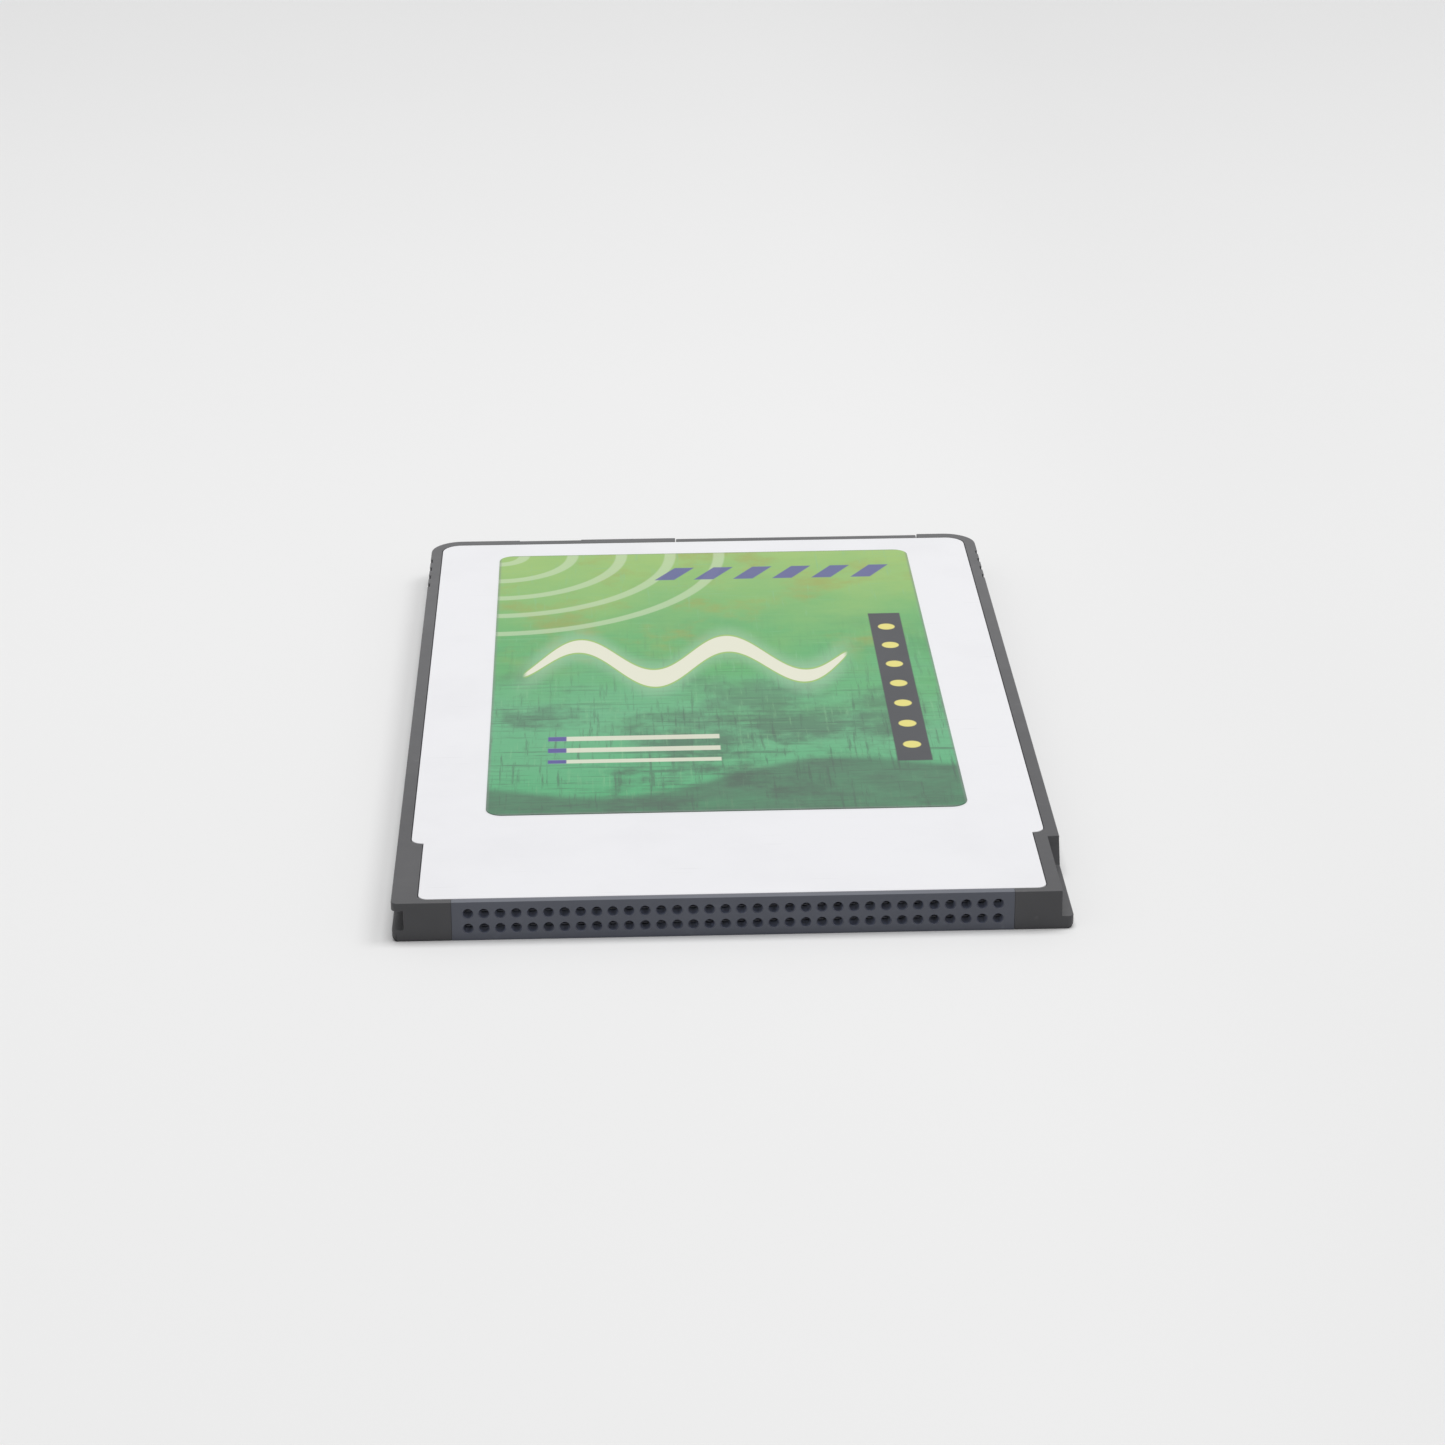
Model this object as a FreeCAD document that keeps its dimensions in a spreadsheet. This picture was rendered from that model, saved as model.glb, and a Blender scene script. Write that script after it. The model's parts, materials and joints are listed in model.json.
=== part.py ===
import FreeCAD, Part
import os
import re
import Sketcher

# Static memory card, credit-card sized, with a two-row socket connector at one short end.
# Frame: X across the card, Y along it with the connector at -Y, Z up from the lower face.
# The origin is the middle of the lower face. All sizes are in millimetres.

SIZES = {
    # whole card: the connector and a block each side set its width, the coin cell its thickness
    "side_block": 4.8,
    "card_length": 85.6,
    "rear_radius": 3.0,
    "long_edge_round": 0.5,
    # frame walls
    "rail_width": 2.4,
    "rear_rail": 2.6,
    "cavity_radius": 1.0,
    "board_ledge": 0.7,
    # keys moulded into the two front corners
    "key_length": 10.7,
    "key_depth": 0.96,
    "key_flange": 1.1,
    "key_round": 0.5,
    "groove_floor": 0.95,
    "groove_height": 1.65,
    # finger grips near the rear corners
    "grip_first": 5.7,
    "grip_pitch": 2.28,
    "grip_width": 0.9,
    "grip_depth": 0.2,
    "grip_count": 4,
    # painted covers, let into the frame
    "cover_thick": 0.2,
    "cover_side_margin": 1.12,
    "cover_rear_margin": 1.2,
    "cover_front_margin": 0.75,
    "cover_shoulder": 1.0,
    "cover_shoulder_from_front": 11.6,
    "cover_shoulder_round": 0.9,
    "cover_front_round": 0.8,
    "cover_gap": 0.06,
    # printed label
    "label_width": 40.0,
    "label_length": 63.4,
    "label_thick": 0.08,
    "label_rear_margin": 3.6,
    "label_radius": 1.4,
    # connector housing
    "socket_pitch": 1.27,
    "socket_columns": 34,
    "socket_radius": 0.4,
    "entry_depth": 1.0,
    "cell_side_gap": 0.18,
    "cell_end_gap": 0.065,
    "housing_end": 1.245,
    "housing_depth": 9.2,
    "ear_width": 0.95,
    "ear_height": 1.4,
    "ear_from_front": 1.6,
    "fit_gap": 0.05,
    # spring contacts
    "contact_thick": 0.15,
    "contact_width": 0.5,
    "contact_setback": 0.2,
    "beam_length": 5.2,
    "tail_length": 1.3,
    # circuit board
    "board_thick": 0.5,
    "board_gap": 0.2,
    # chips, each given by its width, its leads on one side, their pitch and the case past the last one
    "chip_headroom": 0.1,
    "chip_standoff": 0.1,
    "lead_thick": 0.15,
    "lead_foot": 0.45,
    "lead_reach": 0.8,
    "lead_share": 0.4,
    "memory_width": 10.16,
    "memory_pitch": 1.27,
    "memory_leads": 16,
    "memory_end": 0.95,
    "attribute_width": 11.8,
    "attribute_pitch": 0.55,
    "attribute_leads": 14,
    "attribute_end": 0.425,
    "bus_width": 4.4,
    "bus_pitch": 0.65,
    "bus_leads": 10,
    "bus_end": 0.325,
    "decoder_width": 4.4,
    "decoder_pitch": 0.65,
    "decoder_leads": 7,
    "decoder_end": 0.55,
    "supervisor_width": 4.4,
    "supervisor_pitch": 0.65,
    "supervisor_leads": 4,
    "supervisor_end": 0.525,
    # rows on the board, measured back from the connector's face
    "bus_row": 14.0,
    "memory_row": 24.0,
    "capacitor_row": 33.2,
    "attribute_row": 39.5,
    # places across the board
    "bus_offset": 6.0,
    "memory_from_side": 13.0,
    "decoder_from_side": 7.6,
    "attribute_from_side": 10.6,
    "supervisor_offset": 3.0,
    "capacitor_offset": 1.6,
    # two-ended parts on the board
    "capacitor_length": 1.6,
    "capacitor_width": 0.8,
    "capacitor_height": 0.8,
    "capacitor_pitch": 5.6,
    "capacitor_count": 4,
    "resistor_length": 1.0,
    "resistor_width": 0.5,
    "resistor_height": 0.35,
    "resistor_pitch": 2.0,
    "resistor_count": 6,
    "resistor_from_edge": 1.1,
    "resistor_from_rear": 24.0,
    "tank_length": 3.5,
    "tank_width": 2.8,
    "tank_headroom": 0.15,
    "tank_from_side": 10.6,
    "diode_length": 1.7,
    "diode_width": 1.25,
    "diode_height": 0.9,
    "diode_pitch": 2.5,
    "diode_count": 2,
    "diode_from_side": 5.1,
    # coin cell
    "coin_radius": 10.0,
    "coin_thick": 2.5,
    "coin_room": 0.2,
    "cap_inset": 1.2,
    "cap_rise": 0.25,
    # battery bay and its tray
    "bay_from_side": 5.6,
    "bay_wall": 0.9,
    "spring_room": 1.0,
    "tray_gap": 0.1,
    "tray_arm": 1.85,
    "tray_setback": 0.16,
    "tray_end_gap": 0.05,
    "tray_shoulder": 1.17,
    "tray_opening": 3.15,
    "coin_gap": 0.15,
    "coin_ledge": 0.8,
    "nail_slot_width": 8.0,
    "nail_slot_height": 0.9,
    "nail_slot_depth": 0.5,
    # battery contacts
    "leaf_thick": 0.12,
    "leaf_width": 2.4,
    "leaf_foot": 1.6,
    "leaf_inset": 0.7,
    "leaf_offset": 4.0,
    "leaf_reach": 5.4,
    "leaf_gap": 0.04,
    "leaf_slot_gap": 0.18,
    "plate_height": 1.4,
    # write-protect switch
    "switch_from_side": 11.75,
    "window_width": 6.1,
    "window_depth": 0.18,
    "switch_width": 7.2,
    "switch_depth": 2.8,
    "switch_height": 1.5,
    "switch_travel": 2.0,
    "channel_depth": 1.6,
    "knob_width": 1.6,
    "knob_height": 0.8,
    "knob_gap": 0.15,
    "knob_setback": 0.1,
    "knob_notch": 0.25,
    "terminal_width": 0.5,
    "terminal_length": 0.8,
    "terminal_pitch": 2.2,
}

# Sides of each inner socket's entry
ENTRY_SIDES = 10

FRONT = "(-card_length / 2)"
REAR = "(card_length / 2)"
HOUSING_HALF = "((socket_columns - 1) * socket_pitch / 2 + housing_end)"
SIDE = f"({HOUSING_HALF} + side_block)"
THICK = "(coin_thick + 2 * (coin_room + cover_thick))"
MIDDLE = f"({THICK} / 2)"
ROOF = f"({THICK} - cover_thick)"

CAVITY_SIDE = f"({SIDE} - rail_width)"
CAVITY_REAR = f"({REAR} - rear_rail)"
HOUSING_BACK = f"({FRONT} + housing_depth)"

BOARD_TOP = f"({MIDDLE} + board_thick / 2)"
BOARD_FLOOR = f"({MIDDLE} - board_thick / 2)"
CHIP_THICK = f"({ROOF} - chip_headroom - chip_standoff - {BOARD_TOP})"
TANK_HEIGHT = f"({ROOF} - tank_headroom - {BOARD_TOP})"
FIRST_SOCKET = "(-(socket_columns - 1) * socket_pitch / 2)"
LOWER_ROW = f"({MIDDLE} - socket_pitch / 2)"
BEAM_OUTSIDE = "(socket_pitch / 2 - board_thick / 2)"
BEAM_INSIDE = f"({BEAM_OUTSIDE} - contact_thick)"

TRAY_REAR = f"({REAR} - tray_setback)"
TRAY_SEAT = f"({REAR} - cover_rear_margin + cover_gap)"
CAP_RADIUS = "(coin_radius - cap_inset)"
COIN_POCKET = "(coin_radius + coin_gap)"
TRAY_FORK = f"({COIN_POCKET} - tray_opening)"
COIN_Y = f"({TRAY_SEAT} - tray_shoulder - {COIN_POCKET})"
COIN_FLOOR = f"({MIDDLE} - coin_thick / 2)"
RIM_FLOOR = f"({COIN_FLOOR} + cap_rise)"
TRAY_HALF = f"({COIN_POCKET} + tray_arm)"
TRAY_FLOOR = "(cover_thick + tray_gap)"
TRAY_HEIGHT = f"({ROOF} - tray_gap - {TRAY_FLOOR})"
BAY_RIGHT = f"({SIDE} - bay_from_side)"
BAY_X = f"({BAY_RIGHT} - tray_gap - {TRAY_HALF})"
BAY_LEFT = f"({BAY_X} - {TRAY_HALF} - tray_gap)"
ARM_SIDE = f"({BAY_LEFT} - bay_wall - board_gap)"
BAY_FRONT = f"({COIN_Y} - coin_radius - spring_room)"
BAY_WALL_FRONT = f"({BAY_FRONT} - bay_wall)"

RESISTOR_X = f"({ARM_SIDE} - resistor_from_edge - (resistor_count - 1) * resistor_pitch)"
RESISTOR_Y = f"({REAR} - resistor_from_rear)"

LEAF_REAR = f"({BAY_WALL_FRONT} - board_gap - leaf_inset)"
LEAF_FLOOR = f"({COIN_FLOOR} - leaf_gap - leaf_thick)"

WINDOW_Y = f"({REAR} - window_depth)"
SWITCH_X = f"(-{SIDE} + switch_from_side)"
SWITCH_REAR = f"({CAVITY_REAR} - board_gap)"
SWITCH_FRONT = f"({SWITCH_REAR} - switch_depth)"
CHANNEL_HALF = "(switch_travel / 2 + knob_width / 2 + knob_gap)"
CHANNEL_RISE = "(knob_height / 2 + knob_gap)"

doc = FreeCAD.newDocument("memory_card")
sizes = doc.addObject("Spreadsheet::Sheet", "Sizes")
for line, (alias, size) in enumerate(SIZES.items(), start=1):
    sizes.set(f"A{line}", alias)
    sizes.set(f"B{line}", str(size))
    sizes.setAlias(f"B{line}", alias)
doc.recompute()


def bound(text):
    """Point every size named in the text at its cell."""
    return re.sub(
        r"[a-z_]+",
        lambda word: "Sizes." + word.group() if word.group() in SIZES else word.group(),
        text,
    )


def value(text):
    """Give the present value of a text such as "card_length / 2"."""
    return float(sizes.evalExpression(bound(text)))


def new_body(label):
    body = doc.addObject("PartDesign::Body", label)
    body.Label = label
    return body


def origin_feature(body, role):
    return next(item for item in body.Origin.OriginFeatures if item.Role == role)


# Sketches

def bind_last(sketch, index, text):
    name = f"size{index}"
    sketch.renameConstraint(index, name)
    sketch.setExpression(f"Constraints.{name}", bound(text))


def bind_point(sketch, geometry, end, across, up):
    """Tie one point of the sketch to its place from the sketch's origin."""
    for kind, text in (("DistanceX", across), ("DistanceY", up)):
        if text is not None:
            rule = Sketcher.Constraint(kind, -1, 1, geometry, end, value(text))
            bind_last(sketch, sketch.addConstraint(rule), text)


def outline(corners):
    """Closed outline with sides along the sketch's axes; a corner is (x, y, radius or None)."""
    def draw(sketch):
        spots = [FreeCAD.Vector(value(x), value(y), 0) for x, y, radius in corners]
        radii = [value(radius) if radius else 0.0 for x, y, radius in corners]
        count = len(corners)
        ways = [(spots[(i + 1) % count] - spots[i]).normalize() for i in range(count)]
        first = sketch.GeometryCount
        for i in range(count):
            start = spots[i] + ways[i] * radii[i]
            end = spots[(i + 1) % count] - ways[i] * radii[(i + 1) % count]
            sketch.addGeometry(Part.LineSegment(start, end), False)
        for i in range(count):
            upright = abs(ways[i].x) < 0.5
            sketch.addConstraint(Sketcher.Constraint("Vertical" if upright else "Horizontal", first + i))
            x, y, radius = corners[i]
            bind_point(sketch, first + i, 1, x if upright else None, None if upright else y)
        for i in range(count):
            before = first + (i - 1) % count
            if not corners[i][2]:
                sketch.addConstraint(Sketcher.Constraint("Coincident", before, 2, first + i, 1))
                continue
            way_in = ways[i - 1]
            way_out = ways[i]
            centre = spots[i] + (way_out - way_in) * radii[i]
            left_turn = way_in.x * way_out.y - way_in.y * way_out.x > 0
            ends = (spots[i] - way_in * radii[i], spots[i] + way_out * radii[i])
            begin, finish = [
                FreeCAD.Vector(1, 0, 0).getAngle(end - centre) * (1 if end.y >= centre.y else -1)
                for end in (ends if left_turn else ends[::-1])
            ]
            circle = Part.Circle(centre, FreeCAD.Vector(0, 0, 1), radii[i])
            arc = sketch.addGeometry(Part.ArcOfCircle(circle, begin, finish), False)
            near, far = (1, 2) if left_turn else (2, 1)
            sketch.addConstraint(Sketcher.Constraint("Tangent", before, 2, arc, near))
            sketch.addConstraint(Sketcher.Constraint("Tangent", arc, far, first + i, 1))
            rule = Sketcher.Constraint("Radius", arc, radii[i])
            bind_last(sketch, sketch.addConstraint(rule), corners[i][2])
    return draw


def box_outline(left, right, low, high, radius=None):
    return outline([(left, low, radius), (right, low, radius), (right, high, radius), (left, high, radius)])


def polygon(points):
    """Closed outline of straight sides, each corner tied to its own place."""
    def draw(sketch):
        spots = [FreeCAD.Vector(value(x), value(y), 0) for x, y in points]
        first = sketch.GeometryCount
        count = len(points)
        for i in range(count):
            sketch.addGeometry(Part.LineSegment(spots[i], spots[(i + 1) % count]), False)
        for i in range(count):
            before = first + (i - 1) % count
            sketch.addConstraint(Sketcher.Constraint("Coincident", before, 2, first + i, 1))
            bind_point(sketch, first + i, 1, points[i][0], points[i][1])
    return draw


def circle(x, y, radius):
    def draw(sketch):
        centre = FreeCAD.Vector(value(x), value(y), 0)
        ring = sketch.addGeometry(Part.Circle(centre, FreeCAD.Vector(0, 0, 1), value(radius)), False)
        bind_point(sketch, ring, 3, x, y)
        rule = Sketcher.Constraint("Radius", ring, value(radius))
        bind_last(sketch, sketch.addConstraint(rule), radius)
    return draw


def together(*drawings):
    def draw(sketch):
        for drawing in drawings:
            drawing(sketch)
    return draw


# Which way each origin plane faces
FACES = {"XY_Plane": "up", "XZ_Plane": "front", "YZ_Plane": "right"}


def new_sketch(body, name, plane, level, draw):
    """Sketch on an origin plane, moved to a height, a place along the card or a place across it."""
    sketch = body.newObject("Sketcher::SketchObject", f"{body.Name}_{name}_sketch")
    sketch.AttachmentSupport = [(origin_feature(body, plane), "")]
    sketch.MapMode = "FlatFace"
    turned = f"-({level})" if plane == "XZ_Plane" else level
    sketch.setExpression("AttachmentOffset.Base.z", bound(turned))
    draw(sketch)
    sketch.Visibility = False
    return sketch


def pad(body, name, plane, level, draw, way, length, middle=False):
    feature = body.newObject("PartDesign::Pad", f"{body.Name}_{name}")
    feature.Profile = new_sketch(body, name, plane, level, draw)
    feature.setExpression("Length", bound(length))
    feature.Reversed = way != FACES[plane]
    feature.Midplane = middle
    body.Tip = feature
    doc.recompute()
    return feature


def pocket(body, name, plane, level, draw, way, length):
    before = body.Shape.Volume
    feature = body.newObject("PartDesign::Pocket", f"{body.Name}_{name}")
    feature.Profile = new_sketch(body, name, plane, level, draw)
    feature.setExpression("Length", bound(length))
    feature.Reversed = way == FACES[plane]
    body.Tip = feature
    doc.recompute()
    if body.Shape.Volume >= before:
        raise RuntimeError(f"{feature.Name} cuts nothing")
    return feature


def repeat(body, name, features, axis, count, spacing, reverse=False):
    pattern = body.newObject("PartDesign::LinearPattern", f"{body.Name}_{name}")
    pattern.Originals = features
    pattern.Direction = (origin_feature(body, axis), [""])
    pattern.Reversed = reverse
    pattern.setExpression("Occurrences", bound(count))
    pattern.setExpression("Length", bound(f"({count} - 1) * {spacing}"))
    body.Tip = pattern
    doc.recompute()
    return pattern


def place(body, across, along, height):
    for letter, text in (("x", across), ("y", along), ("z", height)):
        body.setExpression(f"Placement.Base.{letter}", bound(text))


# Covers and label

def cover_corners(grow):
    """The stepped outline that both covers and their recesses share, grown by a gap."""
    side = f"({SIDE} - cover_side_margin + {grow})"
    narrow = f"({side} - cover_shoulder)"
    front = f"({FRONT} + cover_front_margin - {grow})"
    step = f"({FRONT} + cover_shoulder_from_front - {grow})"
    rear = f"({REAR} - cover_rear_margin + {grow})"
    rear_round = f"(rear_radius - cover_rear_margin + {grow})"
    return [
        (f"-{narrow}", front, "cover_front_round"),
        (narrow, front, "cover_front_round"),
        (narrow, step, None),
        (side, step, "cover_shoulder_round"),
        (side, rear, rear_round),
        (f"-{side}", rear, rear_round),
        (f"-{side}", step, "cover_shoulder_round"),
        (f"-{narrow}", step, None),
    ]


def make_cover(label, level):
    body = new_body(label)
    pad(body, "panel", "XY_Plane", level, outline(cover_corners("0")), "up", "cover_thick")
    return body


def make_label():
    body = new_body("label")
    rear = f"({REAR} - cover_rear_margin - label_rear_margin)"
    film = box_outline("-label_width / 2", "label_width / 2", f"{rear} - label_length", rear, "label_radius")
    pad(body, "film", "XY_Plane", THICK, film, "up", "label_thick")
    return body


# Frame

def frame_outline():
    """Plan of the card, with the shallow step of the write-protect window in the rear edge."""
    window_left = f"({SWITCH_X} - window_width / 2)"
    window_right = f"({SWITCH_X} + window_width / 2)"
    return outline([
        (f"-{SIDE}", FRONT, "key_round"),
        (SIDE, FRONT, "key_round"),
        (SIDE, REAR, "rear_radius"),
        (window_right, REAR, None),
        (window_right, WINDOW_Y, None),
        (window_left, WINDOW_Y, None),
        (window_left, REAR, None),
        (f"-{SIDE}", REAR, "rear_radius"),
    ])


def cavity(side):
    """Room for the board, open at the front where the connector stands."""
    mouth = f"({HOUSING_HALF} + fit_gap)"
    ahead = f"({FRONT} - 1)"
    return outline([
        (f"-{mouth}", ahead, None),
        (mouth, ahead, None),
        (mouth, HOUSING_BACK, None),
        (side, HOUSING_BACK, None),
        (side, BAY_WALL_FRONT, None),
        (f"{BAY_LEFT} - bay_wall", BAY_WALL_FRONT, None),
        (f"{BAY_LEFT} - bay_wall", CAVITY_REAR, None),
        (f"-{side}", CAVITY_REAR, "cavity_radius"),
        (f"-{side}", HOUSING_BACK, None),
        (f"-{mouth}", HOUSING_BACK, None),
    ])


def edge_trim(sign):
    """Section that rounds one of the lower long edges."""
    side = f"{sign}{SIDE}"
    outside = f"{sign}({SIDE} + 1)"
    inside = f"{sign}({SIDE} - long_edge_round - 1)"
    over = "long_edge_round + 1"
    return outline([
        (outside, "-1", None),
        (inside, "-1", None),
        (inside, "0", None),
        (side, "0", "long_edge_round"),
        (side, over, None),
        (outside, over, None),
    ])


def leaf_slots():
    """Slots in the bay's front wall, one for each battery contact."""
    half = "(leaf_width / 2 + leaf_slot_gap)"
    low_x = f"({BAY_X} - leaf_offset)"
    low = box_outline(
        f"{low_x} - {half}", f"{low_x} + {half}", "0", f"{LEAF_FLOOR} + leaf_thick + leaf_slot_gap"
    )
    high = box_outline(
        f"{BAY_X} - {half}",
        f"{BAY_X} + {half}",
        f"{BOARD_TOP} - leaf_slot_gap",
        f"{BOARD_TOP} + leaf_thick + leaf_slot_gap",
    )
    return together(low, high)


def make_frame():
    body = new_body("frame")
    pad(body, "plan", "XY_Plane", "0", frame_outline(), "up", THICK)
    trims = together(edge_trim("-"), edge_trim(""))
    pocket(body, "long_edges", "XZ_Plane", f"{FRONT} - 1", trims, "back", "card_length + 2")
    shelf = cavity(f"({CAVITY_SIDE} - board_ledge)")
    pocket(body, "lower_cavity", "XY_Plane", "0", shelf, "up", THICK)
    pocket(body, "upper_cavity", "XY_Plane", BOARD_FLOOR, cavity(CAVITY_SIDE), "up", THICK)
    bay = box_outline(BAY_LEFT, BAY_RIGHT, BAY_FRONT, f"{REAR} + 1")
    pocket(body, "battery_bay", "XY_Plane", "0", bay, "up", THICK)
    core = box_outline(f"{BAY_RIGHT} + bay_wall", CAVITY_SIDE, BAY_FRONT, CAVITY_REAR)
    pocket(body, "side_core", "XY_Plane", "0", core, "up", THICK)

    recess = outline(cover_corners("cover_gap"))
    pocket(body, "top_recess", "XY_Plane", ROOF, recess, "up", "cover_thick")
    pocket(body, "bottom_recess", "XY_Plane", "0", recess, "up", "cover_thick")

    ear_reach = f"({HOUSING_HALF} + ear_width + fit_gap)"
    ear_front = f"{FRONT} + ear_from_front - fit_gap"
    ear_slot = box_outline(f"-{ear_reach}", ear_reach, ear_front, f"{HOUSING_BACK} + fit_gap")
    ear_low = f"{MIDDLE} - ear_height / 2 - fit_gap"
    pocket(body, "ear_slots", "XY_Plane", ear_low, ear_slot, "up", "ear_height + 2 * fit_gap")

    outside = f"({SIDE} + 1)"
    key_wall = f"({SIDE} - key_depth)"
    groove = box_outline(f"-{outside}", f"-{key_wall}", "groove_floor", "groove_floor + groove_height")
    pocket(body, "left_key", "XZ_Plane", FRONT, groove, "back", "key_length")
    notch = box_outline(key_wall, outside, "key_flange", f"{THICK} + 1")
    pocket(body, "right_key", "XZ_Plane", FRONT, notch, "back", "key_length")

    slot = box_outline(
        f"{SWITCH_X} - {CHANNEL_HALF}",
        f"{SWITCH_X} + {CHANNEL_HALF}",
        f"{MIDDLE} - {CHANNEL_RISE}",
        f"{MIDDLE} + {CHANNEL_RISE}",
    )
    pocket(body, "switch_slot", "XZ_Plane", f"{CAVITY_REAR} - 1", slot, "back", "rear_rail + 2")
    pocket(body, "leaf_slots", "XZ_Plane", f"{BAY_WALL_FRONT} - 1", leaf_slots(), "back", "bay_wall + 1.5")

    grip_side = f"({SIDE} - grip_depth)"
    grip_rear = f"({REAR} - grip_first + grip_width / 2)"
    grips = together(
        box_outline(grip_side, outside, f"{grip_rear} - grip_width", grip_rear),
        box_outline(f"-{outside}", f"-{grip_side}", f"{grip_rear} - grip_width", grip_rear),
    )
    grip = pocket(body, "grip", "XY_Plane", "0", grips, "up", THICK)
    repeat(body, "grips", [grip], "Y_Axis", "grip_count", "grip_pitch", reverse=True)
    return body


# Connector

def many_sided(x, y, radius):
    """A round hole drawn with flat sides, so that the repeated ones stay light."""
    step = 360 / ENTRY_SIDES
    return polygon([
        (f"{x} + {radius} * cos({step * i} deg)", f"{y} + {radius} * sin({step * i} deg)")
        for i in range(ENTRY_SIDES)
    ])


def repeat_rows(body, name, features, count, spacing):
    """Repeat along the lower row, and once more in the upper row."""
    grid = repeat(body, name, features, "X_Axis", count, spacing)
    grid.Direction2 = (origin_feature(body, "Z_Axis"), [""])
    grid.Occurrences2 = 2
    grid.setExpression("Length2", bound("socket_pitch"))
    doc.recompute()
    return grid


def make_housing():
    """Insulator block: its four corner entries are fully round, the others many-sided."""
    body = new_body("connector_housing")
    lip = f"({FRONT} + cover_front_margin - cover_gap)"
    side_view = polygon([
        (FRONT, "0"),
        (lip, "0"),
        (lip, "cover_thick"),
        (HOUSING_BACK, "cover_thick"),
        (HOUSING_BACK, ROOF),
        (lip, ROOF),
        (lip, THICK),
        (FRONT, THICK),
    ])
    pad(body, "block", "YZ_Plane", "0", side_view, "right", f"2 * {HOUSING_HALF}", middle=True)
    ear_reach = f"({HOUSING_HALF} + ear_width)"
    ears = box_outline(f"-{ear_reach}", ear_reach, f"{FRONT} + ear_from_front", HOUSING_BACK)
    pad(body, "ears", "XY_Plane", f"{MIDDLE} - ear_height / 2", ears, "up", "ear_height")

    across = "socket_columns"
    corner = circle(FIRST_SOCKET, LOWER_ROW, "socket_radius")
    corner = pocket(body, "corner_entry", "XZ_Plane", FRONT, corner, "back", "entry_depth")
    repeat_rows(body, "corner_entries", [corner], "2", f"({across} - 1) * socket_pitch")
    inner = many_sided(f"{FIRST_SOCKET} + socket_pitch", LOWER_ROW, "socket_radius")
    inner = pocket(body, "inner_entry", "XZ_Plane", FRONT, inner, "back", "entry_depth")
    repeat_rows(body, "inner_entries", [inner], f"({across} - 2)", "socket_pitch")

    half_width = "(contact_width / 2 + cell_side_gap)"
    half_height = f"({BEAM_OUTSIDE} + cell_end_gap)"
    cell = box_outline(
        f"{FIRST_SOCKET} - {half_width}",
        f"{FIRST_SOCKET} + {half_width}",
        f"{LOWER_ROW} - {half_height}",
        f"{LOWER_ROW} + {half_height}",
    )
    cell = pocket(body, "cell", "XZ_Plane", HOUSING_BACK, cell, "front", "housing_depth - entry_depth")
    repeat_rows(body, "cells", [cell], across, "socket_pitch")
    return body


def make_contacts(label, side):
    """One row of spring contacts: two beams round the pin, and a tail along the board's face."""
    body = new_body(label)
    row = f"({MIDDLE} + {side} * socket_pitch / 2)"
    tips = f"({FRONT} + entry_depth + contact_setback)"
    web = f"({tips} + beam_length)"
    tail = f"({HOUSING_BACK} + tail_length)"
    near_out = f"{row} - {side} * {BEAM_OUTSIDE}"
    near_in = f"{row} - {side} * {BEAM_INSIDE}"
    far_out = f"{row} + {side} * {BEAM_OUTSIDE}"
    far_in = f"{row} + {side} * {BEAM_INSIDE}"
    side_view = polygon([
        (tips, near_out),
        (tail, near_out),
        (tail, near_in),
        (f"{web} + contact_thick", near_in),
        (f"{web} + contact_thick", far_out),
        (tips, far_out),
        (tips, far_in),
        (web, far_in),
        (web, near_in),
        (tips, near_in),
    ])
    contact = pad(body, "contact", "YZ_Plane", FIRST_SOCKET, side_view, "right", "contact_width", middle=True)
    repeat(body, "row", [contact], "X_Axis", "socket_columns", "socket_pitch")
    return body


# Circuit board and what is soldered to it

def make_board():
    body = new_body("circuit_board")
    side = f"({CAVITY_SIDE} - board_gap)"
    front = f"({HOUSING_BACK} + board_gap)"
    bay_edge = f"({BAY_WALL_FRONT} - board_gap)"
    rear = f"({CAVITY_REAR} - board_gap)"
    notch_half = "(switch_width / 2 + board_gap)"
    notch_front = f"({SWITCH_FRONT} - board_gap)"
    plan = outline([
        (f"-{side}", front, None),
        (side, front, None),
        (side, bay_edge, None),
        (ARM_SIDE, bay_edge, None),
        (ARM_SIDE, rear, None),
        (f"{SWITCH_X} + {notch_half}", rear, None),
        (f"{SWITCH_X} + {notch_half}", notch_front, None),
        (f"{SWITCH_X} - {notch_half}", notch_front, None),
        (f"{SWITCH_X} - {notch_half}", rear, None),
        (f"-{side}", rear, "cavity_radius"),
    ])
    pad(body, "sheet", "XY_Plane", BOARD_FLOOR, plan, "up", "board_thick")
    return body


def lead_section(kind, sign):
    """Side view of one bent lead: a foot on the board and a leg up to the middle of the chip's side."""
    root = f"(chip_standoff + {CHIP_THICK} / 2)"
    side = f"({kind}_width / 2)"
    toe = f"({side} + lead_reach)"
    heel = f"({toe} - lead_foot)"
    return polygon([
        (f"{sign}{side}", f"{root} - lead_thick"),
        (f"{sign}({heel} - lead_thick)", "0"),
        (f"{sign}{toe}", "0"),
        (f"{sign}{toe}", "lead_thick"),
        (f"{sign}{heel}", "lead_thick"),
        (f"{sign}{side}", f"{root} + lead_thick"),
    ])


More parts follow.
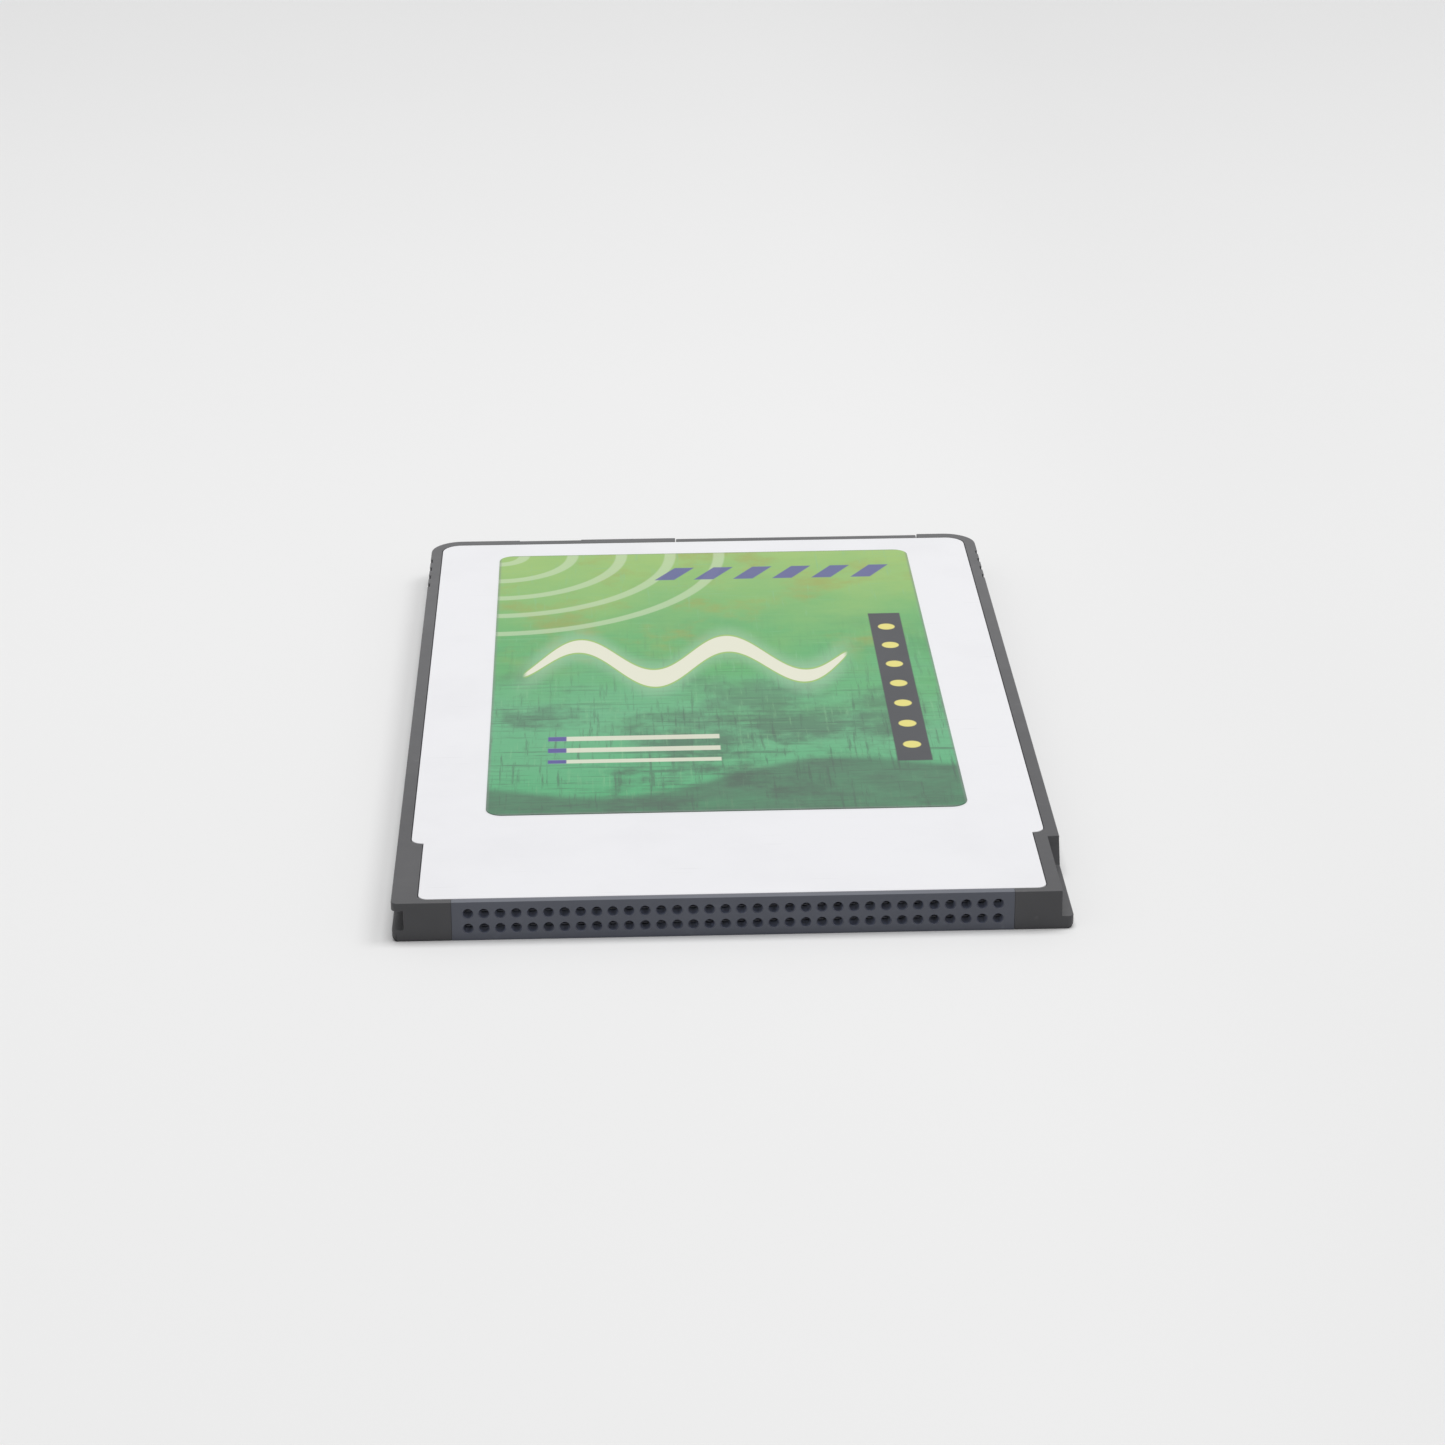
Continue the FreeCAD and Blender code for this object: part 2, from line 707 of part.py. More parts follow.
def make_chip(label, kind, across, along):
    """Flat chip with a row of bent leads on each long side, drawn round its own middle."""
    body = new_body(label)
    last = f"(({kind}_leads - 1) * {kind}_pitch / 2)"
    half_length = f"({last} + {kind}_end)"
    half_width = f"({kind}_width / 2)"
    plan = box_outline(f"-{half_length}", half_length, f"-{half_width}", half_width)
    pad(body, "case", "XY_Plane", "chip_standoff", plan, "up", CHIP_THICK)
    leads = together(lead_section(kind, ""), lead_section(kind, "-"))
    width = f"lead_share * {kind}_pitch"
    pair = pad(body, "leads", "YZ_Plane", f"-{last}", leads, "right", width, middle=True)
    repeat(body, "rows", [pair], "X_Axis", f"{kind}_leads", f"{kind}_pitch")
    place(body, across, along, BOARD_TOP)
    return body


def make_blocks(label, kind, across, along, axis="X_Axis", height=None):
    """A row of like two-ended parts, or one where no count is named."""
    body = new_body(label)
    half_length = f"({kind}_length / 2)"
    half_width = f"({kind}_width / 2)"
    plan = box_outline(f"-{half_length}", half_length, f"-{half_width}", half_width)
    block = pad(body, "block", "XY_Plane", "0", plan, "up", height or f"{kind}_height")
    if f"{kind}_count" in SIZES:
        repeat(body, "row", [block], axis, f"{kind}_count", f"{kind}_pitch")
    place(body, across, along, BOARD_TOP)
    return body


# Battery bay

def make_coin_cell():
    """Coin cell lying with its smaller, negative face down."""
    body = new_body("coin_cell")
    half_section = polygon([
        ("0", "0"),
        (CAP_RADIUS, "0"),
        (CAP_RADIUS, "cap_rise"),
        ("coin_radius", "cap_rise"),
        ("coin_radius", "coin_thick"),
        ("0", "coin_thick"),
    ])
    turn = body.newObject("PartDesign::Revolution", "coin_cell_can")
    turn.Profile = new_sketch(body, "can", "XZ_Plane", "0", half_section)
    turn.ReferenceAxis = (turn.Profile[0], ["V_Axis"])
    turn.Angle = 360
    body.Tip = turn
    doc.recompute()
    place(body, BAY_X, COIN_Y, COIN_FLOOR)
    return body


def make_tray():
    """Fork that wraps past the cell's middle, with a full-height end that closes the bay."""
    body = new_body("battery_tray")
    left = f"({BAY_X} - {TRAY_HALF})"
    right = f"({BAY_X} + {TRAY_HALF})"
    fork = box_outline(left, right, f"{COIN_Y} - {TRAY_FORK}", TRAY_SEAT)
    pad(body, "fork", "XY_Plane", TRAY_FLOOR, fork, "up", TRAY_HEIGHT)
    end = box_outline(left, right, TRAY_SEAT, TRAY_REAR)
    pad(body, "end", "XY_Plane", "tray_end_gap", end, "up", f"{THICK} - 2 * tray_end_gap")
    hollow = circle(BAY_X, COIN_Y, COIN_POCKET)
    pocket(body, "coin_pocket", "XY_Plane", RIM_FLOOR, hollow, "up", THICK)
    window = circle(BAY_X, COIN_Y, f"{COIN_POCKET} - coin_ledge")
    pocket(body, "coin_window", "XY_Plane", "0", window, "up", THICK)
    nail_slot = box_outline(
        f"{BAY_X} - nail_slot_width / 2",
        f"{BAY_X} + nail_slot_width / 2",
        f"{MIDDLE} - nail_slot_height / 2",
        f"{MIDDLE} + nail_slot_height / 2",
    )
    pocket(body, "nail_slot", "XZ_Plane", TRAY_REAR, nail_slot, "front", "nail_slot_depth")
    return body


def make_negative_contact():
    """Leaf from under the board, through the bay's wall, to the cell's lower face."""
    body = new_body("battery_negative_contact")
    side_view = polygon([
        (f"{LEAF_REAR} - leaf_foot", f"{BOARD_FLOOR} - leaf_thick"),
        (f"{LEAF_REAR} - leaf_thick", f"{BOARD_FLOOR} - leaf_thick"),
        (f"{LEAF_REAR} - leaf_thick", LEAF_FLOOR),
        (f"{BAY_FRONT} + leaf_reach", LEAF_FLOOR),
        (f"{BAY_FRONT} + leaf_reach", f"{LEAF_FLOOR} + leaf_thick"),
        (LEAF_REAR, f"{LEAF_FLOOR} + leaf_thick"),
        (LEAF_REAR, BOARD_FLOOR),
        (f"{LEAF_REAR} - leaf_foot", BOARD_FLOOR),
    ])
    across = f"{BAY_X} - leaf_offset"
    pad(body, "leaf", "YZ_Plane", across, side_view, "right", "leaf_width", middle=True)
    return body


def make_positive_contact():
    """Leaf from the board's top to an upright plate that bears on the cell's rim."""
    body = new_body("battery_positive_contact")
    plate_rear = f"({COIN_Y} - coin_radius - leaf_gap)"
    plate_front = f"({plate_rear} - leaf_thick)"
    foot = f"({LEAF_REAR} - leaf_foot)"
    side_view = polygon([
        (foot, BOARD_TOP),
        (plate_front, BOARD_TOP),
        (plate_front, f"{MIDDLE} - plate_height / 2"),
        (plate_rear, f"{MIDDLE} - plate_height / 2"),
        (plate_rear, f"{MIDDLE} + plate_height / 2"),
        (plate_front, f"{MIDDLE} + plate_height / 2"),
        (plate_front, f"{BOARD_TOP} + leaf_thick"),
        (foot, f"{BOARD_TOP} + leaf_thick"),
    ])
    pad(body, "leaf", "YZ_Plane", BAY_X, side_view, "right", "leaf_width", middle=True)
    return body


# Write-protect switch

def make_switch():
    body = new_body("write_protect_switch")
    half = "(switch_width / 2)"
    case = box_outline(f"{SWITCH_X} - {half}", f"{SWITCH_X} + {half}", SWITCH_FRONT, SWITCH_REAR)
    pad(body, "case", "XY_Plane", f"{MIDDLE} - switch_height / 2", case, "up", "switch_height")
    channel = box_outline(
        f"{SWITCH_X} - {CHANNEL_HALF}",
        f"{SWITCH_X} + {CHANNEL_HALF}",
        f"{MIDDLE} - {CHANNEL_RISE}",
        f"{MIDDLE} + {CHANNEL_RISE}",
    )
    pocket(body, "channel", "XZ_Plane", SWITCH_REAR, channel, "front", "channel_depth")
    first = f"({SWITCH_X} - terminal_pitch)"
    terminal = box_outline(
        f"{first} - terminal_width / 2",
        f"{first} + terminal_width / 2",
        f"{SWITCH_FRONT} - terminal_length",
        SWITCH_FRONT,
    )
    terminal = pad(body, "terminal", "XY_Plane", BOARD_TOP, terminal, "up", "lead_thick")
    repeat(body, "terminals", [terminal], "X_Axis", "3", "terminal_pitch")
    return body


def make_slider():
    """Knob of the write-protect switch, at the end of its travel nearer the card's side."""
    body = new_body("write_protect_slider")
    across = f"({SWITCH_X} - switch_travel / 2)"
    inner = f"({SWITCH_REAR} - channel_depth + knob_gap)"
    tip = f"({REAR} - knob_setback)"
    bar = box_outline(f"{across} - knob_width / 2", f"{across} + knob_width / 2", inner, tip)
    pad(body, "bar", "XY_Plane", f"{MIDDLE} - knob_height / 2", bar, "up", "knob_height")
    groove = box_outline(
        f"{across} - knob_notch / 2", f"{across} + knob_notch / 2", f"{tip} - knob_notch", f"{tip} + 1"
    )
    pocket(body, "groove", "XY_Plane", "0", groove, "up", THICK)
    return body


def row_at(distance):
    return f"{FRONT} + {distance}"


def from_side(kind):
    return f"({CAVITY_SIDE} - {kind}_from_side)"


pieces = [
    make_frame(),
    make_cover("top_cover", ROOF),
    make_cover("bottom_cover", "0"),
    make_label(),
    make_housing(),
    make_contacts("upper_row_contacts", "1"),
    make_contacts("lower_row_contacts", "-1"),
    make_board(),
    make_chip("bus_transceiver_left", "bus", "-bus_offset", row_at("bus_row")),
    make_chip("bus_transceiver_right", "bus", "bus_offset", row_at("bus_row")),
    make_chip("address_decoder_chip", "decoder", from_side("decoder"), row_at("bus_row")),
    make_chip("memory_chip_left", "memory", f"-{from_side('memory')}", row_at("memory_row")),
    make_chip("memory_chip_right", "memory", from_side("memory"), row_at("memory_row")),
    make_chip("attribute_memory_chip", "attribute", f"-{from_side('attribute')}", row_at("attribute_row")),
    make_chip("power_supervisor_chip", "supervisor", "supervisor_offset", row_at("attribute_row")),
    make_blocks("decoupling_capacitors", "capacitor", "capacitor_offset", row_at("capacitor_row")),
    make_blocks("hold_up_capacitor", "tank", from_side("tank"), row_at("attribute_row"), height=TANK_HEIGHT),
    make_blocks("blocking_diodes", "diode", from_side("diode"), row_at("attribute_row"), "Y_Axis"),
    make_blocks("pull_up_resistors", "resistor", RESISTOR_X, RESISTOR_Y),
    make_coin_cell(),
    make_tray(),
    make_positive_contact(),
    make_negative_contact(),
    make_switch(),
    make_slider(),
]

doc.recompute()
for item in doc.Objects:
    if "Invalid" in item.State or "Error" in item.State:
        raise RuntimeError(f"{item.Name} did not build: {item.State}")

os.makedirs("parts", exist_ok=True)
for piece in pieces:
    shape = piece.Shape
    if shape.isNull() or not shape.isValid() or shape.Volume <= 0:
        raise RuntimeError(f"{piece.Label} has no valid shape")
    shape.exportStep(f"parts/{piece.Label}.step")
    print(f"{piece.Label}: {len(shape.Solids)} solid(s), {shape.Volume:.2f} mm3")
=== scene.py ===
"""Looks of the static memory card: moulded frame, painted covers, printed label and socket block."""

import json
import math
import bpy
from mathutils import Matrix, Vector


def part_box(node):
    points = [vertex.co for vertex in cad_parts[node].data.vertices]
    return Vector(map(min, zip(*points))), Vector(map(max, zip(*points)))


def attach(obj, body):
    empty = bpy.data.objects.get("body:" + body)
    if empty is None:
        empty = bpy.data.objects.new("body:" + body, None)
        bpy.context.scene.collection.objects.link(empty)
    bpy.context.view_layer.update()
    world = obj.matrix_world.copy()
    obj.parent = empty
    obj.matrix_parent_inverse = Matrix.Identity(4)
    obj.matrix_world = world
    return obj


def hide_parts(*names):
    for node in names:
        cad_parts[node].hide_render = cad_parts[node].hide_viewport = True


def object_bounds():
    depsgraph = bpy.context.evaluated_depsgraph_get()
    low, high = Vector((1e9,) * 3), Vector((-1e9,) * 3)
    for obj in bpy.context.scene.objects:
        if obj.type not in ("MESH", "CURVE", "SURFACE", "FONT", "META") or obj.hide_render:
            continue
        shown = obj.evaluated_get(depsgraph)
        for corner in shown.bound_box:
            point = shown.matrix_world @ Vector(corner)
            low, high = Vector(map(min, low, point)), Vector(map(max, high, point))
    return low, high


bl_info = {
    "name": "Static memory card",
    "version": (1, 0, 0),
    "blender": (4, 5, 0),
    "location": "3D View > Sidebar > Memory card",
    "description": "Dresses the packed memory card and sets up the table, lamps and camera round it",
    "category": "Object",
}

import bmesh
import bpy
from bpy.props import FloatProperty, FloatVectorProperty, IntProperty, PointerProperty
from mathutils import Matrix, Vector

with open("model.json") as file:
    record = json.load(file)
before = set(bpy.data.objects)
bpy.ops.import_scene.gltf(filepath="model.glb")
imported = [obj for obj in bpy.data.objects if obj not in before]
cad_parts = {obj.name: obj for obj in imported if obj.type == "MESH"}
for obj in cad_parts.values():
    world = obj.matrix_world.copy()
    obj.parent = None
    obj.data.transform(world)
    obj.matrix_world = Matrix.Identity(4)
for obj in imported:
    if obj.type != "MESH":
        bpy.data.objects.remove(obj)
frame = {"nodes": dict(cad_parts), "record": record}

CAD_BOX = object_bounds()
MM = 0.001
# Points nearer than this are one point
WELD = 0.001 * MM


def linear(red, green, blue):
    """Turn a screen colour, 0 to 255, into the linear values that shaders use."""
    def channel(value):
        value = value / 255
        return value / 12.92 if value <= 0.04045 else ((value + 0.055) / 1.055) ** 2.4
    return (channel(red), channel(green), channel(blue), 1.0)


def length(name, description, millimetres):
    """A size of the card, written in millimetres."""
    return FloatProperty(name=name, description=description, default=millimetres * MM, min=0, unit="LENGTH")


def colour(name, description, red, green, blue):
    """A colour, written as it shows on a screen."""
    return FloatVectorProperty(
        name=name,
        description=description,
        default=linear(red, green, blue),
        size=4,
        min=0,
        max=1,
        subtype="COLOR",
    )


def turn(name, description, degrees):
    """An angle, written in degrees."""
    return FloatProperty(name=name, description=description, default=math.radians(degrees), unit="ROTATION")


def place(name, description, metres):
    """A point of the stage."""
    return FloatVectorProperty(
        name=name, description=description, default=metres, subtype="TRANSLATION", unit="LENGTH"
    )


def amount(name, description, value):
    """A plain number, never below zero."""
    return FloatProperty(name=name, description=description, default=value, min=0)


def span(name, description, metres):
    """A size of the stage, written in metres."""
    return FloatProperty(name=name, description=description, default=metres, min=0, unit="LENGTH")


class CardEdges(bpy.types.PropertyGroup):
    """Radii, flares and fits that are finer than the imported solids, and the sizes of the sockets"""

    frame_edge: length("Frame edge", "Radius on the edges of the moulded frame", 0.055)
    cover_edge: length("Cover edge", "Radius left by stamping on the covers' edges", 0.05)
    label_edge: length("Label edge", "Radius on the label's cut edge", 0.02)
    label_stretch: length("Label stretch", "How far the film runs on towards the connector end", 0.45)
    label_spread: length("Label spread", "How far the film runs on at each side", 0.08)
    label_skew: turn("Label skew", "How far the hand-laid film is turned on the cover", 0.2)
    tray_edge: length("Tray edge", "Radius on the edges of the battery tray", 0.04)
    key_length: length("Key length", "Distance from the connector end to the right key's end wall", 10.7)
    key_knee: length("Key knee", "Height at which that wall starts to lean", 2.7)
    key_lean: length("Key lean", "How far the foot of that wall stands before its top", 1.0)
    block_edge: length("Socket block edge", "Radius on the outer edges of the socket block", 0.03)
    block_press: length("Socket block press", "How far the socket block closes its gap to the frame", 0.05)
    small_edge: length("Small part edge", "Radius on the capacitors, resistors and diodes", 0.05)
    lead_reach: length("Lead reach", "How far the chips' leads stand out past the case", 0.8)
    cell_edge: length("Cell edge", "Radius on the coin cell's crimped rim", 0.2)
    slider_edge: length("Slider edge", "Radius on the edges of the write-protect slider", 0.06)
    mouth_flare: length("Mouth flare", "Width of the flare round each socket's mouth", 0.05)
    mouth_sides: IntProperty(
        name="Mouth sides", description="Flat sides that stand for each round socket", default=32, min=12
    )
    entry_depth: length("Entry depth", "Depth of the round entry before the square cell", 1.0)
    cell_half_width: length("Cell half width", "Half width of the cell round each spring contact", 0.43)
    cell_half_height: length("Cell half height", "Half height of the cell round each spring contact", 0.45)
    ear_width: length("Ear width", "How far the socket block's ears stand out at its sides", 0.95)
    ear_half_height: length("Ear half height", "Half height of the socket block's ears", 0.7)
    ear_setback: length("Ear setback", "Distance from the socket block's front to its ears", 1.6)
    lip_gap: length("Lip gap", "Gap between the socket block's front lip and the covers", 0.06)


class CardColours(bpy.types.PropertyGroup):
    """Base colours, without the light that the surfaces mirror; the socket wall's colour holds painted light
    """

    moulding: colour("Moulding", "Charcoal plastic of the frame and the tray", 59, 59, 62)
    block: colour("Socket block", "Blue-black plastic of the socket block", 80, 84, 96)
    # Painted light: the socket block's own plastic, given a paler colour inside the sockets for the light
    # that reaches there
    socket_wall_painted_light: colour("Socket wall", "Smooth plastic inside the sockets", 142, 148, 167)
    paint: colour("Paint", "White paint on both covers", 236, 236, 239)
    label_rear: colour("Label, rear", "Yellow-green print at the battery end", 147, 185, 97)
    label_middle: colour("Label, middle", "Leaf green print at mid length", 82, 165, 96)
    label_front: colour("Label, front", "Emerald print towards the connector end", 67, 163, 107)
    label_dark: colour("Label, dark", "Green-black of the shaded print", 48, 76, 60)
    label_slate: colour("Label, slate", "Dark grey of the printed band", 42, 44, 50)
    label_cream: colour("Label, cream", "Pale print of the wave", 226, 226, 206)
    label_violet: colour("Label, violet", "Blue-violet print of the bars", 70, 66, 140)
    label_olive: colour("Label, olive", "Warm patches in the rear half of the print", 152, 146, 54)
    label_yellow: colour("Label, yellow", "Yellow print of the dots", 226, 216, 120)
    plating: colour("Plating", "Dull plating on the socket contacts", 140, 142, 150)
    tin: colour("Tin", "Tinned metal of the chips' leads", 196, 196, 198)
    cell: colour("Cell", "Drawn steel of the coin cell", 206, 206, 204)
    solder_mask: colour("Solder mask", "Green lacquer of the circuit board", 24, 86, 48)
    chip_resin: colour("Chip resin", "Black resin of the chips", 30, 30, 31)
    small_resin: colour("Small resin", "Dark resin of the resistors and diodes", 36, 35, 34)
    ceramic: colour("Ceramic", "Fired body of the capacitors", 168, 132, 92)
    switch_resin: colour("Switch resin", "Dark plastic of the switch's housing", 34, 34, 35)
    slider: colour("Slider", "Pale plastic of the write-protect slider", 214, 214, 208)
    floor: colour("Floor", "Pale table under the card", 240, 240, 240)


class CardStage(bpy.types.PropertyGroup):
    """Camera, lamps and table"""

    lens: amount("Lens", "Focal length in mm", 92.52)
    sensor: amount("Sensor", "Width of the camera's sensor in mm", 36)
    station: place("Station", "Place of the camera", (-0.00890, -0.30840, 0.12657))
    look_down: turn("Look down", "Angle of the view below the horizon", 22.19)
    look_right: turn("Look right", "Turn of the view from the card's length towards +X", 1.75)
    roll: turn("Roll", "Lean of the camera about its view", -0.38)
    sky: amount("Sky", "Strength of the even light all round", 0.33)
    backdrop: amount("Backdrop", "Strength of the pale backdrop that glossy surfaces mirror", 0.95)
    top_lamp: amount("Top lamp", "Power of the lamp overhead, in watts", 7.95)
    top_lamp_place: place("Top lamp place", "Middle of the lamp overhead", (0.0, 0.10, 1.20))
    top_lamp_width: span("Top lamp width", "Side of the lamp overhead", 0.65)
    side_lamp: amount("Side lamp", "Power of the lamp at the right, in watts", 2.3)
    side_lamp_place: place("Side lamp place", "Middle of the lamp at the right", (0.55, 0.10, 0.90))
    side_lamp_width: span("Side lamp width", "Side of the lamp at the right", 0.4)
    floor_reach: span("Floor reach", "Half width of the table", 4.0)
    # Painted shade on the table's colour, standing in for light falling off far behind the card and at its
    # right
    painted_shade_behind: amount("Dim behind", "Share of its light that the table loses far behind the card", 0.06)
    painted_shade_beside: amount("Dim beside", "Share of its light that the table loses at the card's right", 0.038)


class Finish:
    """A material being made, with short calls that add nodes and join them."""

    def __init__(self, name):
        self.material = bpy.data.materials.new(name)
        self.material.use_nodes = True
        self.tree = self.material.node_tree
        self.shader = self.tree.nodes["Principled BSDF"]
        coordinates = self.tree.nodes.new("ShaderNodeTexCoord")
        self.place = self.scaled(coordinates.outputs["Object"], (1 / MM, 1 / MM, 1 / MM))

    def join(self, value, socket):
        """Feed a socket from another node, or set it where the value is plain."""
        if isinstance(value, bpy.types.NodeSocket):
            self.tree.links.new(value, socket)
        else:
            socket.default_value = value

    def scaled(self, vector, factors):
        """The vector with each of its parts times a factor of its own."""
        node = self.tree.nodes.new("ShaderNodeVectorMath")
        node.operation = "MULTIPLY"
        self.join(vector, node.inputs[0])
        self.join(factors, node.inputs[1])
        return node.outputs[0]

    def across_and_along(self):
        """Two values: the place across and along the card, in millimetres."""
        node = self.tree.nodes.new("ShaderNodeSeparateXYZ")
        self.join(self.place, node.inputs[0])
        return node.outputs[0], node.outputs[1]

    def facing_up(self):
        """The height of the surface's own normal: 1 on level tops, 0 on upright sides."""
        shape = self.tree.nodes.new("ShaderNodeNewGeometry")
        node = self.tree.nodes.new("ShaderNodeSeparateXYZ")
        self.join(shape.outputs["Normal"], node.inputs[0])
        return node.outputs[2]

    def math(self, operation, first, second=0.0):
        """One operation on one or two values."""
        node = self.tree.nodes.new("ShaderNodeMath")
        node.operation = operation
        self.join(first, node.inputs[0])
        self.join(second, node.inputs[1])
        return node.outputs[0]

    def apart(self, across, along):
        """How far apart two points are that lie so far apart across and along."""
        squares = self.math("ADD", self.math("POWER", across, 2.0), self.math("POWER", along, 2.0))
        return self.math("SQRT", squares)

    def step(self, value, low, high):
        """Rise smoothly from 0 at low to 1 at high; low may be the larger."""
        node = self.tree.nodes.new("ShaderNodeMapRange")
        node.interpolation_type = "SMOOTHSTEP"
        self.join(value, node.inputs["Value"])
        self.join(low, node.inputs["From Min"])
        self.join(high, node.inputs["From Max"])
        return node.outputs["Result"]

    def noise(self, grain, detail=3.0, roughness=0.5, stretch=(1, 1, 1), offset=(0, 0, 0)):
        """Noise with features about one grain, in millimetres, across."""
        node = self.tree.nodes.new("ShaderNodeTexNoise")
        node.inputs["Scale"].default_value = 1.0
        node.inputs["Detail"].default_value = detail
        node.inputs["Roughness"].default_value = roughness
        shifted = self.tree.nodes.new("ShaderNodeVectorMath")
        shifted.operation = "ADD"
        self.join(self.scaled(self.place, [1 / (grain * side) for side in stretch]), shifted.inputs[0])
        self.join(offset, shifted.inputs[1])
        self.join(shifted.outputs[0], node.inputs["Vector"])
        return node.outputs["Fac"]

    def mix(self, share, first, second):
        """The first colour, going over to the second as the share rises from 0 to 1."""
        node = self.tree.nodes.new("ShaderNodeMix")
        node.data_type = "RGBA"
        first_colour, second_colour = node.inputs[6:8]
        self.join(share, node.inputs["Factor"])
        self.join(first, first_colour)
        self.join(second, second_colour)
        return node.outputs[2]

    def ramp(self, share, stops):
        """Colours that stand at their stops between 0 and 1."""
        node = self.tree.nodes.new("ShaderNodeValToRGB")
        bar = node.color_ramp.elements
        while len(bar) < len(stops):
            bar.new(0.5)
        for element, (position, shade) in zip(bar, stops):
            element.position = position
            element.color = shade
        self.join(share, node.inputs["Fac"])
        return node.outputs["Color"]

    def spread(self, share, low, high):
        """Turn 0 to 1 into low to high."""
        node = self.tree.nodes.new("ShaderNodeMapRange")
        self.join(share, node.inputs["Value"])
        node.inputs["To Min"].default_value = low
        node.inputs["To Max"].default_value = high
        return node.outputs["Result"]

    def bump(self, height, depth, strength=1.0):
        """Relief of the given depth, in millimetres."""
        node = self.tree.nodes.new("ShaderNodeBump")
        node.inputs["Strength"].default_value = strength
        node.inputs["Distance"].default_value = depth * MM
        self.join(height, node.inputs["Height"])
        self.tree.links.new(node.outputs["Normal"], self.shader.inputs["Normal"])

    def set(self, **values):
        """Fill the shader's sockets: base_color, roughness, metallic and so on."""
        for name, value in values.items():
            socket = self.shader.inputs[name.replace("_", " ").title().replace("Ior", "IOR")]
            self.join(value, socket)


def darker(shade, share):
    """The share of the colour that is kept, over black."""
    return tuple(channel * share for channel in shade[:3]) + (1.0,)


def lighter(shade, share):
    """The colour with a share of white."""
    return tuple(channel + (1 - channel) * share for channel in shade[:3]) + (1.0,)


# Finishes

# Shares of white painted on the plastic's upward faces as sheen (painted light), at the connector end and at
# the rear
CHARCOAL_PAINTED_SHEEN = (0.0, 0.044)
BLOCK_PAINTED_SHEEN = (0.04, 0.04)


def moulded_plastic(name, shade, grain=0.09, roughness=0.46, relief=0.006, painted_sheen=None):
    """Fine spark-eroded texture with faint cloudy patches.

    Painted sheen pales the faces that look up, by one share at the connector end and another at the rear; it
    is painted light for the light that the tops mirror, laid in random patches.
    """
    finish = Finish(name)
    patches = finish.noise(6.0, detail=4)
    ground = finish.mix(patches, darker(shade, 0.86), lighter(shade, 0.015))
    rubbed = finish.step(finish.noise(1.4, detail=5, offset=(9, 4, 2)), 0.63, 0.8)
    ground = finish.mix(rubbed, ground, lighter(shade, 0.03))
    # Painted light: a sheen painted on the upward faces, growing towards the rear, in random patches
    if painted_sheen:
        at_front, at_rear = painted_sheen
        along = finish.across_and_along()[1]
        sheen_along = finish.step(along, CAD_BOX[0][1] / MM, CAD_BOX[1][1] / MM)
        sheen_along = finish.spread(sheen_along, at_front / at_rear, 1.0)
        sheen_patches = finish.spread(finish.noise(8.0, detail=3, offset=(5, 5, 1)), 0.55, 1.0)
        sheen_on_tops = finish.step(finish.facing_up(), 0.75, 1.0)
        share = finish.math("MULTIPLY", sheen_on_tops, finish.math("MULTIPLY", sheen_patches, sheen_along))
        ground = finish.mix(share, ground, lighter(shade, at_rear))
    finish.set(
        base_color=ground,
        roughness=finish.spread(finish.noise(2.2, detail=3), roughness - 0.06, roughness + 0.08),
    )
    finish.bump(finish.noise(grain, detail=2), relief, 0.7)
    return finish.material


def painted_light_lining(name, shade, depth):
    """Painted light inside the sockets: the block's plastic given a paler colour, paler still where it lies
    deep, standing in for light that carries on between its walls.
    """
    finish = Finish(name)
    along = finish.across_and_along()[1]
    mouth = CAD_BOX[0][1] / MM
    # Painted light: paler still further inside the sockets
    deep = finish.step(along, mouth + 0.3 * depth / MM, mouth + depth / MM)
    ground = finish.mix(finish.noise(2.0, detail=3), darker(shade, 0.9), shade)
    finish.set(
        base_color=finish.mix(deep, ground, lighter(shade, 0.2)),
        roughness=finish.spread(finish.noise(0.5, detail=3), 0.26, 0.4),
    )
    finish.bump(finish.noise(0.12, detail=2), 0.002, 0.5)
    return finish.material


def painted_steel(name, shade):
    """White paint with a trace of orange peel, soft smudges and a few fine hairs."""
    finish = Finish(name)
    smudge = finish.step(finish.noise(9.0, detail=4, offset=(3, 1, 0)), 0.42, 0.75)
    hairs = finish.step(finish.noise(1.0, detail=2, stretch=(7, 0.25, 1), offset=(2, 8, 5)), 0.70, 0.78)
    ground = finish.mix(smudge, shade, darker(shade, 0.97))
    finish.set(
        base_color=finish.mix(finish.math("MULTIPLY", hairs, 0.35), ground, darker(shade, 0.8)),
        roughness=finish.spread(smudge, 0.46, 0.56),
    )
    finish.bump(finish.noise(0.7, detail=2), 0.004, 0.5)
    return finish.material


def plated_metal(name, shade, roughness=0.28, grain=0.3):
    """Plated strip with cloudy tone and faint rolling lines."""
    finish = Finish(name)
    tone = finish.noise(grain * 6, detail=3)
    finish.set(
        base_color=finish.mix(tone, darker(shade, 0.82), shade),
        metallic=1.0,
        roughness=finish.spread(finish.noise(grain, detail=4), roughness - 0.06, roughness + 0.1),
    )
    finish.bump(finish.noise(grain, detail=2, stretch=(1, 4, 1)), 0.002, 0.5)
    return finish.material


def brushed_cell(name, shade, centre):
    """Drawn steel can with turned rings round its middle."""
    finish = Finish(name)
    across, along = finish.across_and_along()
    from_x = finish.math("SUBTRACT", across, centre.x / MM)
    from_y = finish.math("SUBTRACT", along, centre.y / MM)
    rings = finish.math("SINE", finish.math("MULTIPLY", finish.apart(from_x, from_y), 42.0))
    cloud = finish.noise(3.0, detail=4)
    finish.set(
        base_color=finish.mix(cloud, darker(shade, 0.8), shade),
        metallic=1.0,
        roughness=finish.spread(cloud, 0.24, 0.38),
    )
    finish.bump(rings, 0.002, 0.3)
    return finish.material


